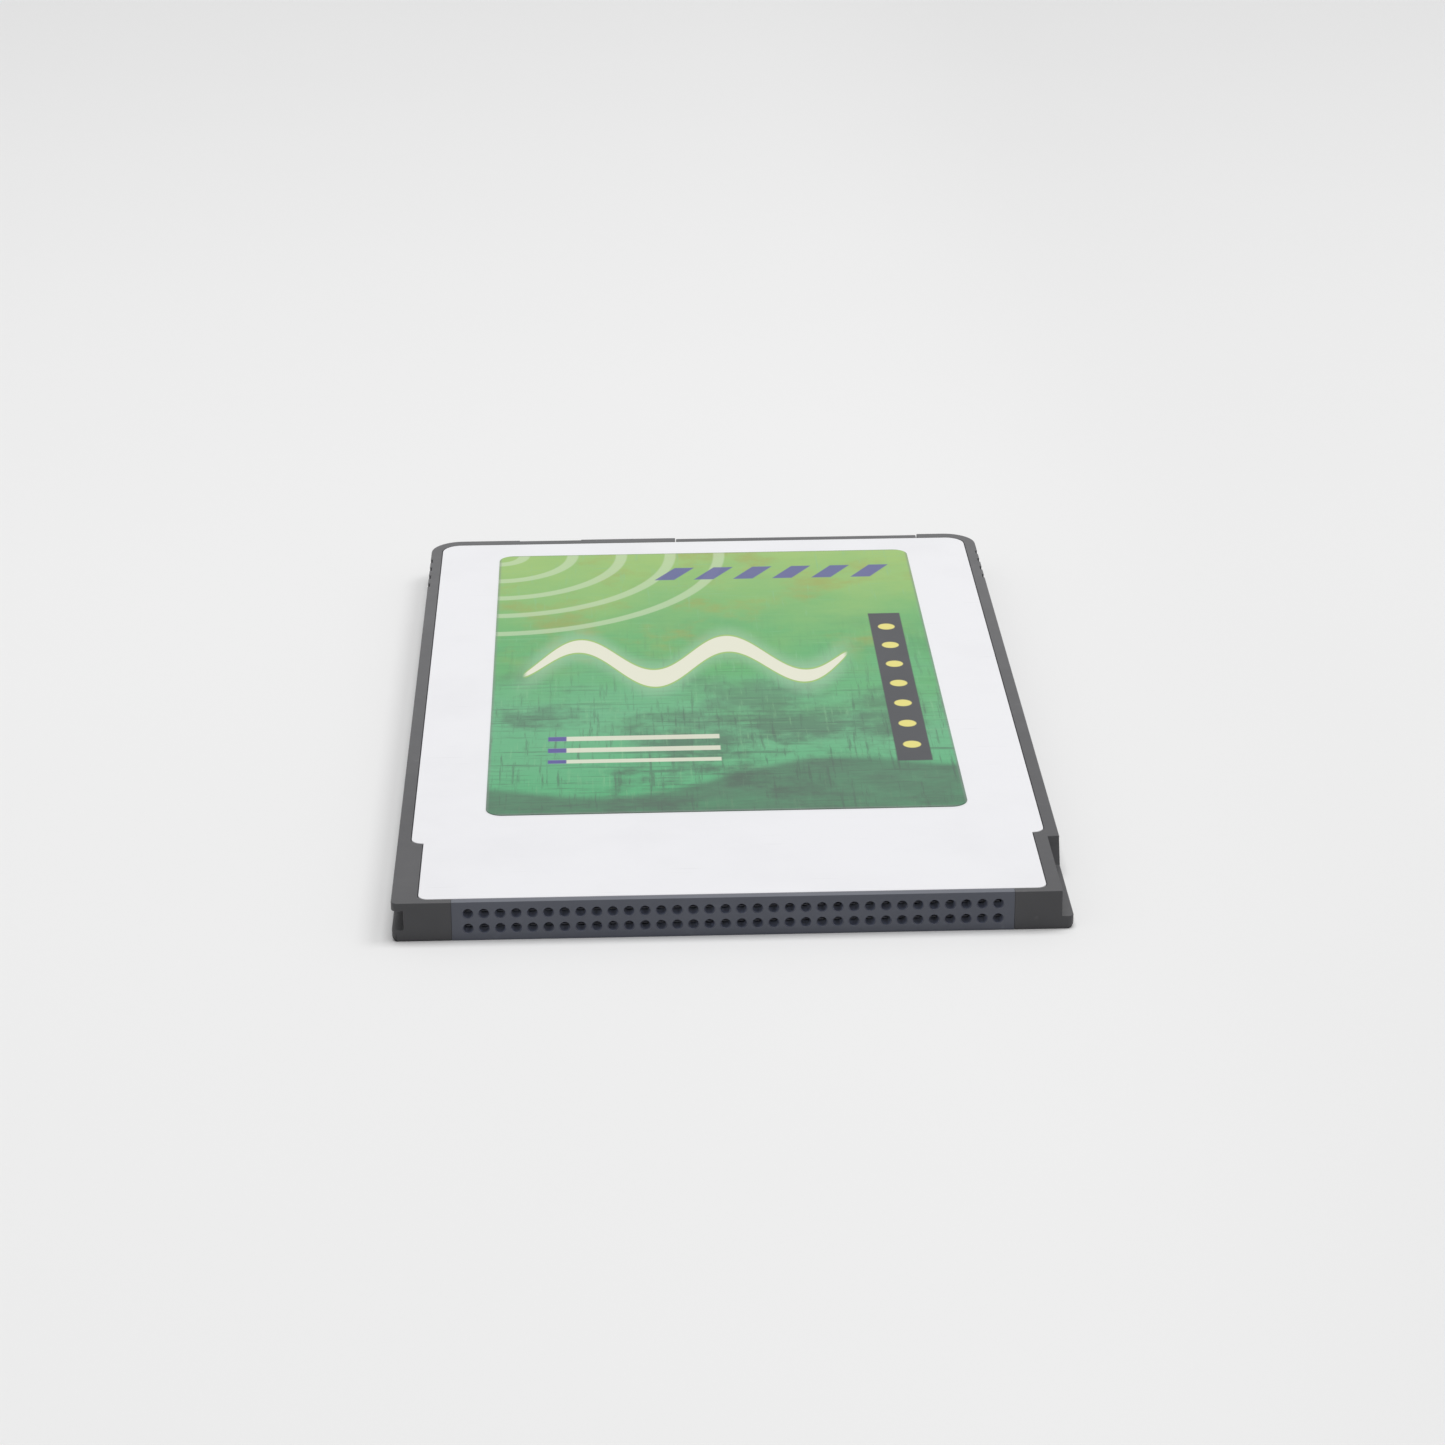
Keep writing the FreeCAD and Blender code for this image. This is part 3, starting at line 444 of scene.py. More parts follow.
def board_lacquer(name, shade):
    """Solder mask with raised tracks running along and across it."""
    finish = Finish(name)
    across, along = finish.across_and_along()
    lanes = finish.math("PINGPONG", across, 0.42)
    wander = finish.step(finish.noise(5.0, detail=1, stretch=(1, 3, 1)), 0.47, 0.53)
    rows = finish.math("PINGPONG", along, 0.42)
    along_tracks = finish.step(lanes, 0.16, 0.12)
    across_tracks = finish.step(rows, 0.16, 0.12)
    settled = finish.math("SUBTRACT", 1.0, wander)
    along_share = finish.math("MULTIPLY", along_tracks, wander)
    across_share = finish.math("MULTIPLY", across_tracks, settled)
    tracks = finish.math("ADD", along_share, across_share)
    finish.set(base_color=finish.mix(tracks, shade, lighter(shade, 0.12)), roughness=0.32)
    finish.bump(tracks, 0.02, 0.8)
    return finish.material


class Print(Finish):
    """A printed film, built up by laying one ink over another; x and y start at its middle, in mm."""

    def __init__(self, name, low, high, skew):
        super().__init__(name)
        middle = (low + high) / 2 / MM
        turned = self.tree.nodes.new("ShaderNodeVectorRotate")
        turned.rotation_type = "Z_AXIS"
        self.join(self.place, turned.inputs["Vector"])
        self.join(middle, turned.inputs["Center"])
        self.join(-skew, turned.inputs["Angle"])
        self.place = turned.outputs[0]
        across, along = self.across_and_along()
        self.half = (high - low) / 2 / MM
        self.x = self.minus(across, middle.x)
        self.y = self.minus(along, middle.y)
        self.ink = None

    def minus(self, first, second):
        return self.math("SUBTRACT", first, second)

    def plus(self, first, second):
        return self.math("ADD", first, second)

    def times(self, first, second):
        return self.math("MULTIPLY", first, second)

    def inside(self, value, centre, reach, soft=0.07):
        """1 where the value lies within reach of the centre, and 0 beyond."""
        return self.step(self.math("ABSOLUTE", self.minus(value, centre)), reach + soft, reach - soft)

    def block(self, centre_x, centre_y, reach_x, reach_y):
        """1 inside an upright rectangle, and 0 outside."""
        return self.times(self.inside(self.x, centre_x, reach_x), self.inside(self.y, centre_y, reach_y))

    def distance(self, centre_x, centre_y):
        """How far each point of the film lies from a centre."""
        return self.apart(self.minus(self.x, centre_x), self.minus(self.y, centre_y))

    def lay(self, share, shade, weight=1.0):
        """Print one more ink over the others, by its share and its weight."""
        self.ink = self.mix(self.times(share, weight), self.ink, shade)


def print_field(film, colours):
    """Green ground: yellow-green at the rear, emerald and clouded with shade towards the front."""
    share = film.math("DIVIDE", film.plus(film.y, film.half.y), 2 * film.half.y)
    clouds = film.noise(9.0, detail=6, roughness=0.62, stretch=(1.3, 1, 1))
    film.ink = film.ramp(film.plus(share, film.times(film.minus(clouds, 0.5), 0.5)), [
        (0.0, colours.label_front),
        (0.30, lighter(colours.label_front, 0.05)),
        (0.58, colours.label_middle),
        (1.0, colours.label_rear),
    ])
    shade = film.noise(13.0, detail=6, roughness=0.65, offset=(6, 3, 0))
    forward = film.step(share, 0.85, 0.0)
    film.lay(film.times(film.step(shade, 0.46, 0.62), forward), colours.label_dark, 0.9)
    long_strokes = film.noise(0.8, detail=5, roughness=0.7, stretch=(0.5, 9, 1), offset=(4, 1, 0))
    cross_strokes = film.noise(0.8, detail=5, roughness=0.7, stretch=(9, 0.5, 1), offset=(1, 7, 0))
    strokes = film.step(film.math("MINIMUM", long_strokes, cross_strokes), 0.47, 0.34)
    film.lay(film.times(strokes, film.step(share, 0.8, 0.2)), colours.label_dark, 0.6)
    warm = film.step(film.noise(7.0, detail=5, roughness=0.6, offset=(2, 9, 0)), 0.50, 0.72)
    film.lay(film.times(warm, film.step(share, 0.45, 0.65)), colours.label_olive, 0.55)
    glints = film.step(film.math("MAXIMUM", long_strokes, cross_strokes), 0.58, 0.70)
    film.lay(glints, lighter(colours.label_middle, 0.12), 0.45)


def print_dune(film, colours):
    """A dark dune along the front edge."""
    slope = 0.16
    swell_height = 2.4
    radians_per_mm = 0.19
    swell = film.times(film.math("SINE", film.times(film.x, radians_per_mm)), swell_height)
    crest = film.plus(film.times(film.x, slope), swell)
    dune = film.step(film.minus(film.y, crest), 8.0 - film.half.y, 6.2 - film.half.y)
    mottle = film.spread(film.noise(3.5, detail=6, roughness=0.7, stretch=(1.6, 0.8, 1)), 0.25, 1.15)
    film.lay(film.times(dune, mottle), colours.label_dark)


def print_rings(film, colours):
    """Five pale rings that spread from the rear left corner."""
    half_pitch = 2.4
    half_width = 0.55
    from_corner = film.distance(-film.half.x, film.half.y)
    rings = film.inside(film.math("PINGPONG", from_corner, half_pitch), half_pitch, half_width, 0.12)
    within = film.step(from_corner, 25.2, 24.8)
    film.lay(film.times(rings, within), lighter(colours.label_rear, 0.35), 0.6)


def print_wave(film, colours):
    """One bold cream wave across the middle, tapered to its ends, with a soft light round it."""
    middle_x = -2.5
    middle_y = 2.5
    reach = 15.0
    height = 4.2
    half_width = 2.1
    radians_per_mm = 0.46
    bends = film.math("SINE", film.times(film.plus(film.x, 2.0), radians_per_mm))
    swing = film.times(bends, height)
    from_wave = film.math("ABSOLUTE", film.minus(film.minus(film.y, middle_y), swing))
    along = film.math("DIVIDE", film.minus(film.x, middle_x), reach)
    taper = film.math("SQRT", film.math("MAXIMUM", film.minus(1.0, film.math("POWER", along, 2.0)), 0.0))
    glow = film.times(film.step(from_wave, 6.0, 1.2), film.step(film.math("ABSOLUTE", along), 1.1, 0.85))
    film.lay(glow, lighter(colours.label_middle, 0.25), 0.6)
    outside = film.minus(from_wave, film.times(taper, half_width))
    within = film.step(film.math("ABSOLUTE", along), 1.0, 0.96)
    film.lay(film.times(film.step(outside, 0.42, 0.28), within), colours.label_rear)
    film.lay(film.times(film.step(outside, 0.07, -0.07), within), colours.label_cream)


def print_bars(film, colours):
    """Six slanted violet bars in a row at the rear, on the right."""
    row_x = 6.5
    row_y = film.half.y - 6.0
    last_x = 16.0
    half_pitch = 1.9
    slant = 0.6
    slanted = film.minus(film.x, film.times(film.minus(film.y, row_y), slant))
    bars = film.inside(film.math("PINGPONG", film.minus(slanted, last_x), half_pitch), 0.0, half_pitch / 2)
    row = film.times(film.inside(slanted, row_x, 11.2), film.inside(film.y, row_y, 1.7))
    film.lay(film.times(bars, row), colours.label_violet, 0.9)


def print_band(film, colours):
    """A slate band along the right side, with seven yellow dots down its middle."""
    band_x = film.half.x - 3.6
    band_y = -4.0
    half_pitch = 2.4
    film.lay(film.block(band_x, band_y, 1.5, 18.0), colours.label_slate)
    from_dot_row = film.math("PINGPONG", film.minus(film.y, band_y), half_pitch)
    dots = film.step(film.apart(film.minus(film.x, band_x), from_dot_row), 0.85, 0.71)
    film.lay(film.times(dots, film.inside(film.y, band_y, 16.6)), colours.label_yellow)


def print_stripes(film, colours):
    """Three cream stripes with violet heads, low on the left."""
    half_pitch = 1.3
    stripes_y = -17.7
    reach_y = 3.5
    rows = film.inside(film.math("PINGPONG", film.plus(film.y, 30.0), half_pitch), half_pitch, 0.5)
    film.lay(film.times(rows, film.block(-7.5, stripes_y, 7.4, reach_y)), colours.label_cream, 0.85)
    film.lay(film.times(rows, film.block(-14.2, stripes_y, 0.8, reach_y)), colours.label_violet)


def printed_film(name, colours, low, high, skew):
    """The label's own print: plain fields of colour and simple shapes."""
    film = Print(name, low, high, skew)
    print_field(film, colours)
    print_dune(film, colours)
    print_rings(film, colours)
    print_wave(film, colours)
    print_bars(film, colours)
    print_band(film, colours)
    print_stripes(film, colours)
    inset_x = film.minus(film.half.x, film.math("ABSOLUTE", film.x))
    inset_y = film.minus(film.half.y, film.math("ABSOLUTE", film.y))
    edge = film.step(film.math("MINIMUM", inset_x, inset_y), 0.30, 0.10)
    film.lay(edge, lighter(colours.label_dark, 0.15), 0.5)
    film.set(base_color=film.ink, roughness=film.spread(film.noise(5.0, detail=3), 0.38, 0.48))
    film.bump(film.noise(0.35, detail=2), 0.003, 0.4)
    return film.material


# Shapes

def finish_mesh(piece, sharp=40):
    """Shade smooth between faces that meet at under the sharp angle, and keep flat faces flat."""
    piece.data.shade_smooth()
    piece.data.set_sharp_from_angle(angle=math.radians(sharp))
    weights = piece.modifiers.new("Flat faces stay flat", "WEIGHTED_NORMAL")
    weights.keep_sharp = True
    return piece


def object_from(name, mesher):
    """New object that takes over the mesh being made."""
    mesh = bpy.data.meshes.new(name)
    mesher.to_mesh(mesh)
    mesher.free()
    piece = bpy.data.objects.new(name, mesh)
    bpy.context.scene.collection.objects.link(piece)
    return piece


def solids_of(node):
    """The node's own surface with its facets joined into whole faces."""
    mesher = bmesh.new()
    mesher.from_mesh(frame["nodes"][node].data)
    bmesh.ops.remove_doubles(mesher, verts=mesher.verts, dist=WELD)
    bmesh.ops.dissolve_limit(mesher, angle_limit=math.radians(1), verts=mesher.verts, edges=mesher.edges)
    return mesher


def round_edges(mesher, radius, steps=2, corner=50):
    """Round each edge whose faces meet at more than the corner angle."""
    edges = [
        edge for edge in mesher.edges
        if edge.is_manifold and edge.calc_face_angle() > math.radians(corner) and edge.calc_length() > radius
    ]
    bmesh.ops.bevel(
        mesher,
        geom=edges,
        offset=radius,
        offset_type="OFFSET",
        segments=steps,
        profile=0.5,
        affect="EDGES",
        clamp_overlap=False,
    )


def dressed(node, name, body, material, radius, steps=2, mesher=None):
    """Rounded stand-in for one CAD node, riding where the node rides."""
    mesher = mesher or solids_of(node)
    if radius:
        round_edges(mesher, radius, steps)
    piece = finish_mesh(object_from(name, mesher))
    piece.data.materials.append(material)
    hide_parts(node)
    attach(piece, body)
    return piece


def repaint(node, material):
    """Give a CAD node its detailed finish."""
    frame["nodes"][node].material_slots[0].material = material


# Operators

class CARD_OT_frame(bpy.types.Operator):
    """Round the moulded frame's edges and give it its charcoal texture"""

    bl_idname = "card.frame"
    bl_label = "Frame"

    def execute(self, context):
        edges = context.scene.card_edges
        colours = context.scene.card_colours
        charcoal = moulded_plastic("charcoal_moulding", colours.moulding, painted_sheen=CHARCOAL_PAINTED_SHEEN)
        mesher = solids_of("frame")
        self.bend_key(mesher, edges)
        dressed("frame", "moulded_frame", "card", charcoal, edges.frame_edge, mesher=mesher)
        return {"FINISHED"}

    def bend_key(self, mesher, edges):
        """Bend the end wall of the key at the right front corner, so that its foot comes forward."""
        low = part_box("frame")[0]
        wall_y = low.y + edges.key_length
        knee = low.z + edges.key_knee
        corners = {vert for vert in mesher.verts if vert.co.x > 0 and abs(vert.co.y - wall_y) < WELD}
        rims = [edge for edge in mesher.edges if corners.issuperset(edge.verts)]
        wall = [face for face in mesher.faces if corners.issuperset(face.verts)]
        bmesh.ops.bisect_plane(
            mesher,
            geom=[*corners, *rims, *wall],
            dist=WELD,
            plane_co=(0, 0, knee),
            plane_no=(0, 0, 1),
        )
        for vert in corners:
            if vert.co.z < knee:
                vert.co.y -= edges.key_lean


class CARD_OT_covers(bpy.types.Operator):
    """Stamp both covers with softened edges and white paint"""

    bl_idname = "card.covers"
    bl_label = "Covers"

    def execute(self, context):
        edges = context.scene.card_edges
        paint = painted_steel("white_paint", context.scene.card_colours.paint)
        dressed("top_cover", "top_panel", "card", paint, edges.cover_edge)
        dressed("bottom_cover", "bottom_panel", "card", paint, edges.cover_edge)
        return {"FINISHED"}


class CARD_OT_label(bpy.types.Operator):
    """Lay the printed label on the top cover"""

    bl_idname = "card.label"
    bl_label = "Label"

    def execute(self, context):
        edges = context.scene.card_edges
        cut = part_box("label")
        low = Vector((cut[0].x - edges.label_spread, cut[0].y - edges.label_stretch, cut[0].z))
        high = Vector((cut[1].x + edges.label_spread, cut[1].y, cut[1].z))
        film = printed_film("green_print", context.scene.card_colours, low, high, edges.label_skew)
        piece = dressed("label", "printed_label", "card", film, edges.label_edge)
        self.lay(piece, cut, (low, high), edges.label_skew)
        return {"FINISHED"}

    def lay(self, piece, cut, laid, skew):
        """Stretch the film from its cut box to the box where it lies, and turn it a little."""
        cut_size = cut[1] - cut[0]
        size = laid[1] - laid[0]
        grown = Matrix.Diagonal((size.x / cut_size.x, size.y / cut_size.y, 1, 1))
        middle = Matrix.Translation((laid[0] + laid[1]) / 2)
        turned = Matrix.Rotation(skew, 4, "Z")
        piece.data.transform(middle @ turned @ grown @ Matrix.Translation((cut[0] + cut[1]) / -2))


class CARD_OT_socket_block(bpy.types.Operator):
    """Mould the socket block with its two rows of flared round mouths"""

    bl_idname = "card.socket_block"
    bl_label = "Socket block"

    def execute(self, context):
        edges = context.scene.card_edges
        colours = context.scene.card_colours
        plastic = moulded_plastic(
            "blue_black_block", colours.block, grain=0.12, roughness=0.4, relief=0.004, painted_sheen=BLOCK_PAINTED_SHEEN
        )
        # Painted light lining for the faces inside the sockets
        wall = painted_light_lining("socket_wall_painted_light", colours.socket_wall_painted_light, edges.entry_depth)
        block = self.outer_block(edges)
        self.cut(block, self.all_sockets(edges))
        finish_mesh(block)
        block.data.materials.clear()
        block.data.materials.append(plastic)
        block.data.materials.append(wall)
        self.mark_walls(block, edges)
        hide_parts("connector_housing")
        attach(block, "card")
        return {"FINISHED"}

    def cut(self, block, cutter):
        """Take the cutter out of the block and delete it."""
        difference = block.modifiers.new("Sockets", "BOOLEAN")
        difference.operation = "DIFFERENCE"
        difference.solver = "EXACT"
        difference.object = cutter
        shown = bpy.context.evaluated_depsgraph_get()
        cut_mesh = bpy.data.meshes.new_from_object(block.evaluated_get(shown))
        block.modifiers.clear()
        block.data = cut_mesh
        bpy.data.objects.remove(cutter)

    def outer_block(self, edges):
        """The block with its front lip and its ears, before the sockets are cut."""
        low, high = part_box("connector_housing")
        top_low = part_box("top_cover")[0]
        bottom_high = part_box("bottom_cover")[1]
        lip = top_low.y - edges.lip_gap
        middle = (low.z + high.z) / 2
        left = low.x + edges.ear_width - edges.block_press
        right = high.x - edges.ear_width + edges.block_press
        mesher = bmesh.new()
        side = [
            (low.y, low.z),
            (lip, low.z),
            (lip, bottom_high.z),
            (high.y, bottom_high.z),
            (high.y, top_low.z),
            (lip, top_low.z),
            (lip, high.z),
            (low.y, high.z),
        ]
        add_prism(mesher, [Vector((left, y, z)) for y, z in side], Vector((right - left, 0, 0)))
        round_edges(mesher, edges.block_edge)
        front = low.y + edges.ear_setback
        for near, far in ((low.x, left), (right, high.x)):
            corners = [(near, front), (far, front), (far, high.y), (near, high.y)]
            points = [Vector((x, y, middle - edges.ear_half_height)) for x, y in corners]
            add_prism(mesher, points, Vector((0, 0, 2 * edges.ear_half_height)))
        return object_from("socket_block", mesher)

    def mark_walls(self, block, edges):
        """Give the faces inside the sockets, past their flares, the second material, the painted light
        lining.
        """
        first, last, radius = socket_span()
        low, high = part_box("connector_housing")
        mouth = low.y + edges.mouth_flare
        reach = radius + edges.mouth_flare + WELD
        for face in block.data.polygons:
            x, y, z = face.center
            in_rows = first.x - reach < x < last.x + reach and first.z - reach < z < last.z + reach
            if in_rows and mouth < y < high.y - WELD:
                face.material_index = 1

    def all_sockets(self, edges):
        """One cutter holding every socket: flare, round entry, then a square cell to the back."""
        first, last, radius = socket_span()
        row_step = last.z - first.z
        columns = 1 + round((last.x - first.x) / row_step)
        low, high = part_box("connector_housing")
        mesher = bmesh.new()
        for column in range(columns):
            for row in range(2):
                centre = Vector((first.x + column * row_step, 0, first.z + row * row_step))
                add_socket(mesher, centre, low.y, high.y, radius, edges)
        return object_from("socket_cutter", mesher)


def socket_span():
    """Middles of the first and the last corner socket, and the sockets' radius."""
    mounts = {mount["name"]: mount for mount in frame["record"]["mounts"]}
    first = Vector(mounts["socket_lower_left"]["pos_m"])
    last = Vector(mounts["socket_upper_right"]["pos_m"])
    return first, last, mounts["socket_lower_left"]["dims"]["r_mm"] * MM


def add_prism(mesher, points, along):
    """Closed prism: the outline and the same outline moved along a vector."""
    near = [mesher.verts.new(point) for point in points]
    far = [mesher.verts.new(point + along) for point in points]
    mesher.faces.new(near[::-1])
    mesher.faces.new(far)
    count = len(points)
    for i in range(count):
        mesher.faces.new((near[i], near[(i + 1) % count], far[(i + 1) % count], far[i]))
    bmesh.ops.recalc_face_normals(mesher, faces=mesher.faces)


def add_socket(mesher, centre, front, back, radius, edges):
    """Closed cutter for one socket, run a little past both faces of the block."""
    tiny = 1e-9
    sides = edges.mouth_sides
    flare = edges.mouth_flare
    entry = front + edges.entry_depth
    past = 0.1 * MM
    turns = [2 * math.pi * i / sides for i in range(sides)]
    directions = [Vector((math.cos(angle), math.sin(angle))) for angle in turns]
    round_rings = [
        (front - past, radius + flare + past),
        (front + flare, radius),
        (entry, radius),
    ]
    rings = []
    for y, reach in round_rings:
        rings.append([
            mesher.verts.new((centre.x + reach * way.x, y, centre.z + reach * way.y)) for way in directions
        ])
    for y in (entry, back + past):
        ring = []
        for way in directions:
            width_scale = edges.cell_half_width / max(abs(way.x), tiny)
            height_scale = edges.cell_half_height / max(abs(way.y), tiny)
            scale = min(width_scale, height_scale)
            ring.append(mesher.verts.new((centre.x + scale * way.x, y, centre.z + scale * way.y)))
        rings.append(ring)
    mesher.faces.new(rings[0])
    for near, far in zip(rings, rings[1:]):
        for i in range(sides):
            mesher.faces.new((near[i], far[i], far[(i + 1) % sides], near[(i + 1) % sides]))
    mesher.faces.new(rings[-1][::-1])


class CARD_OT_contacts(bpy.types.Operator):
    """Plate the spring contacts inside the sockets"""

    bl_idname = "card.contacts"
    bl_label = "Contacts"

    def execute(self, context):
        plating = plated_metal("dull_plating", context.scene.card_colours.plating, roughness=0.4)
        for node in ("upper_row_contacts", "lower_row_contacts"):
            repaint(node, plating)
        return {"FINISHED"}


class CARD_OT_board(bpy.types.Operator):
    """Lacquer the circuit board"""

    bl_idname = "card.board"
    bl_label = "Circuit board"

    def execute(self, context):
        repaint("circuit_board", board_lacquer("solder_mask", context.scene.card_colours.solder_mask))
        return {"FINISHED"}


class CARD_OT_chips(bpy.types.Operator):
    """Mould the chips and tin their leads"""

    bl_idname = "card.chips"
    bl_label = "Chips"

    nodes = (
        "bus_transceiver_left",
        "bus_transceiver_right",
        "address_decoder_chip",
        "memory_chip_left",
        "memory_chip_right",
        "attribute_memory_chip",
        "power_supervisor_chip",
    )

    def execute(self, context):
        colours = context.scene.card_colours
        reach = context.scene.card_edges.lead_reach
        resin = moulded_plastic("black_resin", colours.chip_resin, grain=0.05, roughness=0.55)
        tin = plated_metal("tinned_lead", colours.tin)
        for node in self.nodes:
            piece = dressed(node, f"{node}_moulding", "card", resin, 0)
            piece.data.materials.append(tin)
            low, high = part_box(node)
            front = low.y + reach
            rear = high.y - reach
            for face in piece.data.polygons:
                if not front - WELD < face.center.y < rear + WELD:
                    face.material_index = 1
        return {"FINISHED"}


class CARD_OT_small_parts(bpy.types.Operator):
    """Finish the capacitors, resistors and diodes"""

    bl_idname = "card.small_parts"
    bl_label = "Small parts"

    def execute(self, context):
        edge = context.scene.card_edges.small_edge
        colours = context.scene.card_colours
        ceramic = moulded_plastic("fired_ceramic", colours.ceramic, grain=0.05, roughness=0.5)
        resin = moulded_plastic("dark_resin", colours.small_resin, grain=0.05, roughness=0.5)
        dressed("decoupling_capacitors", "ceramic_capacitors", "card", ceramic, edge)
        dressed("hold_up_capacitor", "reservoir_capacitor", "card", ceramic, edge)
        dressed("blocking_diodes", "moulded_diodes", "card", resin, edge)
        dressed("pull_up_resistors", "chip_resistors", "card", resin, edge)
        return {"FINISHED"}


class CARD_OT_battery(bpy.types.Operator):
    """Turn the coin cell, its tray and the leaves that touch it"""

    bl_idname = "card.battery"
    bl_label = "Battery"

    def execute(self, context):
        edges = context.scene.card_edges
        colours = context.scene.card_colours
        low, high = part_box("coin_cell")
        steel = brushed_cell("drawn_steel", colours.cell, (low + high) / 2)
        rim = edges.cell_edge
        dressed("coin_cell", "crimped_coin_cell", "battery_tray", steel, rim, steps=3)
        charcoal = moulded_plastic("tray_moulding", colours.moulding, painted_sheen=CHARCOAL_PAINTED_SHEEN)
        dressed("battery_tray", "moulded_tray", "battery_tray", charcoal, edges.tray_edge)
        nickel = plated_metal("nickel_strip", colours.tin)
        repaint("battery_positive_contact", nickel)
        repaint("battery_negative_contact", nickel)
        return {"FINISHED"}


class CARD_OT_switch(bpy.types.Operator):
    """Mould the write-protect switch and its slider"""

    bl_idname = "card.switch"
    bl_label = "Write-protect switch"

    def execute(self, context):
        edges = context.scene.card_edges
        colours = context.scene.card_colours
        pale = moulded_plastic("pale_slider", colours.slider, roughness=0.4)
        slider = "write_protect_slider"
        dressed(slider, "slider_knob", slider, pale, edges.slider_edge)
        resin = moulded_plastic("switch_resin", colours.switch_resin, grain=0.06, roughness=0.5)
        repaint("write_protect_switch", resin)
        return {"FINISHED"}


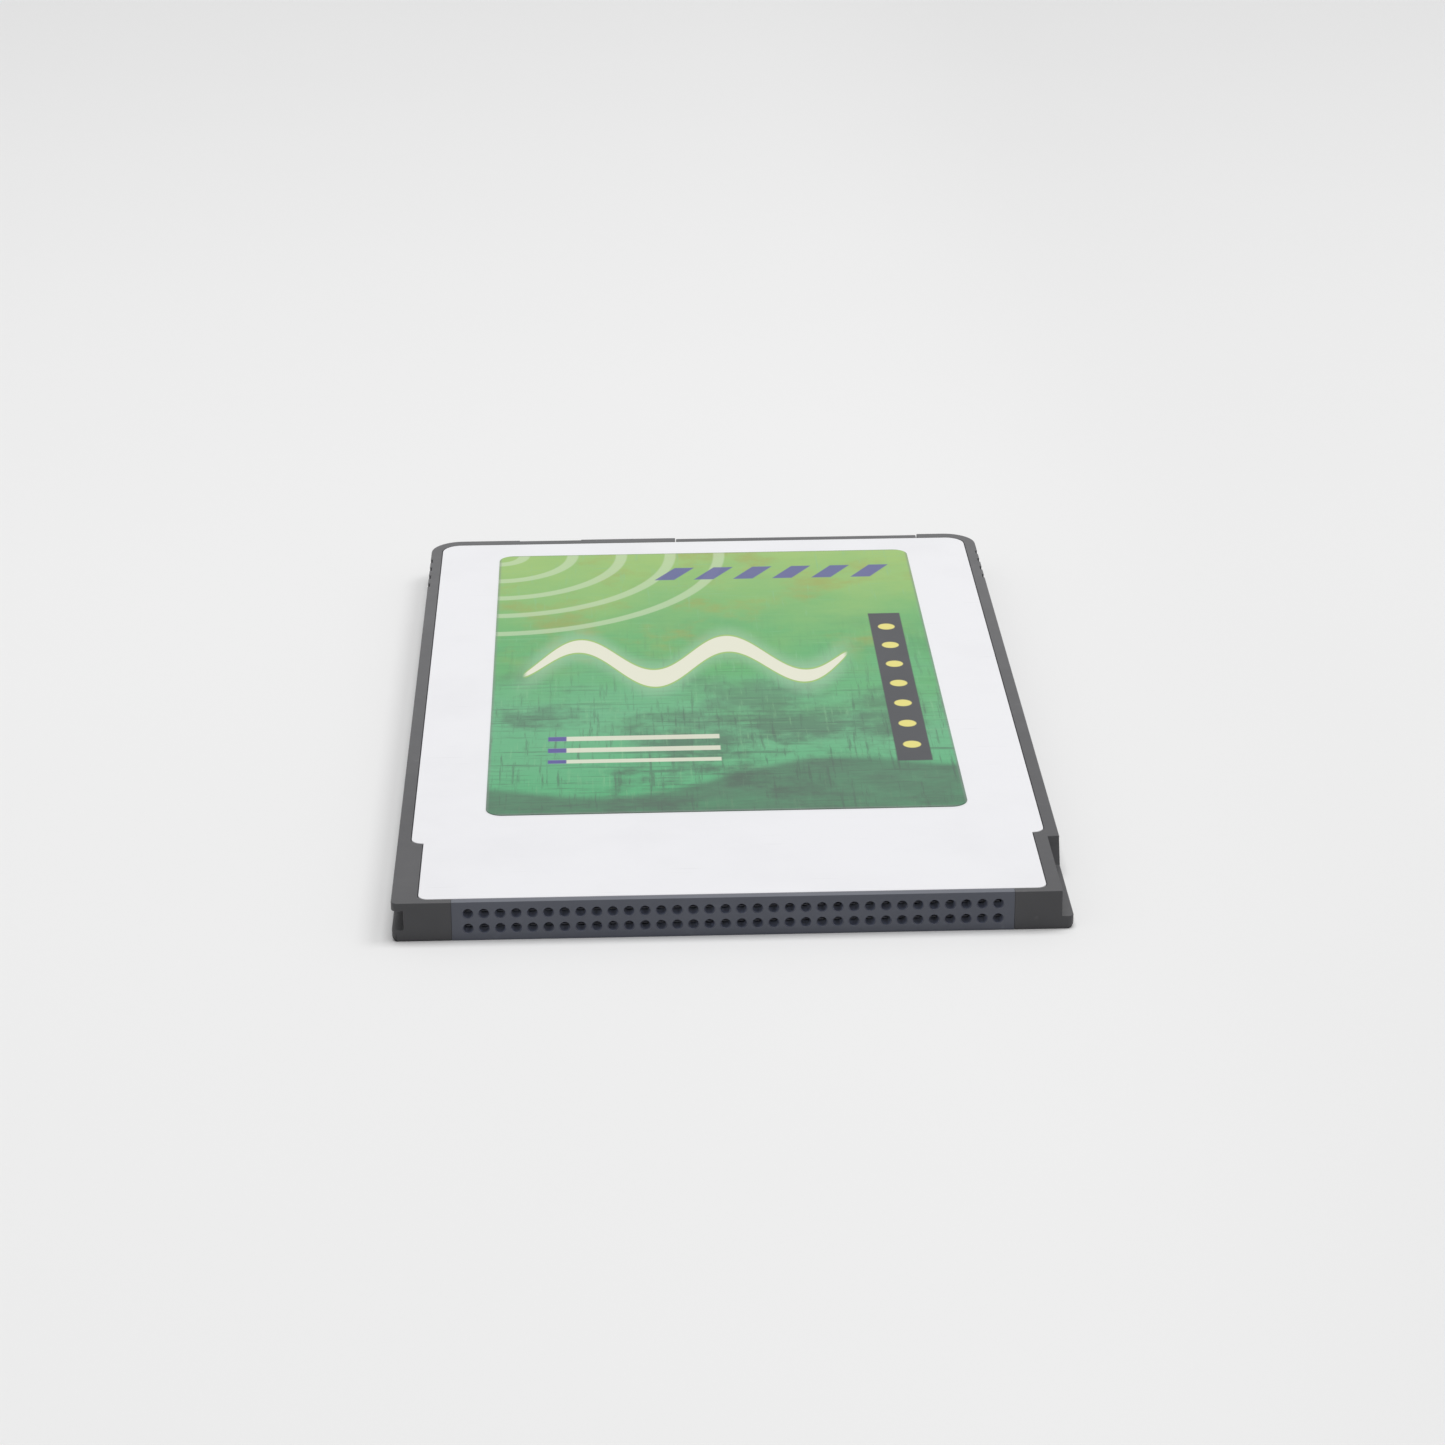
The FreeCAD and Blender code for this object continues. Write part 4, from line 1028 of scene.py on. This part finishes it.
class CARD_OT_stage(bpy.types.Operator):
    """Set the pale table, the even light, the two soft lamps and the camera"""

    bl_idname = "card.stage"
    bl_label = "Stage"

    def execute(self, context):
        stage = context.scene.card_stage
        self.floor(context.scene.card_colours.floor, stage)
        self.sky(context.scene, stage.sky, stage.backdrop)
        self.lamp("top_lamp", stage.top_lamp, stage.top_lamp_place, stage.top_lamp_width)
        self.lamp("side_lamp", stage.side_lamp, stage.side_lamp_place, stage.side_lamp_width)
        self.camera(context.scene, stage)
        context.scene.view_settings.view_transform = "Standard"
        return {"FINISHED"}

    def floor(self, shade, stage):
        """Pale table whose colour darkens a little far behind the card and at its right: painted shade
        standing in for the light falling off there.
        """
        reach = stage.floor_reach
        behind_to = 350.0
        beside_from = 15.0
        beside_to = 60.0
        mesher = bmesh.new()
        corners = [(-reach, -reach), (reach, -reach), (reach, reach), (-reach, reach)]
        mesher.faces.new([mesher.verts.new((x, y, 0)) for x, y in corners])
        floor = object_from("table", mesher)
        finish = Finish("pale_table")
        across, along = finish.across_and_along()
        # Painted shade: the table's colour darkens far behind the card and at its right, where the light
        # falls off
        behind = finish.math("MULTIPLY", finish.step(along, 0.0, behind_to), stage.painted_shade_behind)
        beside = finish.math("MULTIPLY", finish.step(across, beside_from, beside_to), stage.painted_shade_beside)
        tone = finish.mix(finish.noise(60.0, detail=3), darker(shade, 0.985), shade)
        finish.set(
            base_color=finish.mix(finish.math("ADD", behind, beside), tone, darker(shade, 0.0)),
            roughness=0.8,
            specular_ior_level=0.1,
        )
        floor.data.materials.append(finish.material)

    def sky(self, scene, strength, backdrop_strength):
        """Even light all round, and a pale backdrop for whatever looks at or mirrors it."""
        world = bpy.data.worlds.new("even_light")
        world.use_nodes = True
        tree = world.node_tree
        light = tree.nodes["Background"]
        light.inputs["Color"].default_value = (1, 1, 1, 1)
        light.inputs["Strength"].default_value = strength
        backdrop = tree.nodes.new("ShaderNodeBackground")
        backdrop.inputs["Color"].default_value = (1, 1, 1, 1)
        backdrop.inputs["Strength"].default_value = backdrop_strength
        path = tree.nodes.new("ShaderNodeLightPath")
        seen = tree.nodes.new("ShaderNodeMath")
        seen.operation = "MAXIMUM"
        tree.links.new(path.outputs["Is Camera Ray"], seen.inputs[0])
        tree.links.new(path.outputs["Is Glossy Ray"], seen.inputs[1])
        choice = tree.nodes.new("ShaderNodeMixShader")
        tree.links.new(seen.outputs[0], choice.inputs[0])
        tree.links.new(light.outputs[0], choice.inputs[1])
        tree.links.new(backdrop.outputs[0], choice.inputs[2])
        tree.links.new(choice.outputs[0], tree.nodes["World Output"].inputs["Surface"])
        scene.world = world

    def lamp(self, name, power, where, width):
        """Square lamp that looks at the card."""
        data = bpy.data.lights.new(name, "AREA")
        data.energy = power
        data.size = width
        lamp = bpy.data.objects.new(name, data)
        lamp.location = where
        lamp.rotation_mode = "QUATERNION"
        lamp.rotation_quaternion = Vector(where).to_track_quat("Z", "Y")
        bpy.context.scene.collection.objects.link(lamp)

    def camera(self, scene, stage):
        """Camera at the connector end, looking down along the card."""
        data = bpy.data.cameras.new("camera")
        data.lens = stage.lens
        data.sensor_width = stage.sensor
        data.clip_start = 0.01
        data.clip_end = 20
        camera = bpy.data.objects.new("camera", data)
        upright = math.radians(90)
        camera.matrix_world = (
            Matrix.Translation(stage.station)
            @ Matrix.Rotation(-stage.look_right, 4, "Z")
            @ Matrix.Rotation(upright - stage.look_down, 4, "X")
            @ Matrix.Rotation(stage.roll, 4, "Z")
        )
        scene.collection.objects.link(camera)
        scene.camera = camera


OPERATORS = (
    CARD_OT_frame,
    CARD_OT_covers,
    CARD_OT_label,
    CARD_OT_socket_block,
    CARD_OT_contacts,
    CARD_OT_board,
    CARD_OT_chips,
    CARD_OT_small_parts,
    CARD_OT_battery,
    CARD_OT_switch,
    CARD_OT_stage,
)


class CARD_PT_panel(bpy.types.Panel):
    """Buttons and sizes of the memory card"""

    bl_label = "Memory card"
    bl_idname = "CARD_PT_panel"
    bl_space_type = "VIEW_3D"
    bl_region_type = "UI"
    bl_category = "Memory card"

    def draw(self, context):
        for operator in OPERATORS:
            self.layout.operator(operator.bl_idname)
        for settings in (context.scene.card_edges, context.scene.card_colours, context.scene.card_stage):
            box = self.layout.box()
            for name in settings.bl_rna.properties.keys():
                if name not in ("rna_type", "name"):
                    box.prop(settings, name)


SETTINGS = (CardEdges, CardColours, CardStage)


def register():
    for item in SETTINGS + OPERATORS + (CARD_PT_panel,):
        bpy.utils.register_class(item)
    bpy.types.Scene.card_edges = PointerProperty(type=CardEdges)
    bpy.types.Scene.card_colours = PointerProperty(type=CardColours)
    bpy.types.Scene.card_stage = PointerProperty(type=CardStage)


def unregister():
    del bpy.types.Scene.card_stage
    del bpy.types.Scene.card_colours
    del bpy.types.Scene.card_edges
    for item in reversed(SETTINGS + OPERATORS + (CARD_PT_panel,)):
        bpy.utils.unregister_class(item)


def main():
    """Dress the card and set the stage."""
    register()
    for operator in OPERATORS:
        group, name = operator.bl_idname.split(".")
        getattr(getattr(bpy.ops, group), name)()


if __name__ == "__main__":
    main()
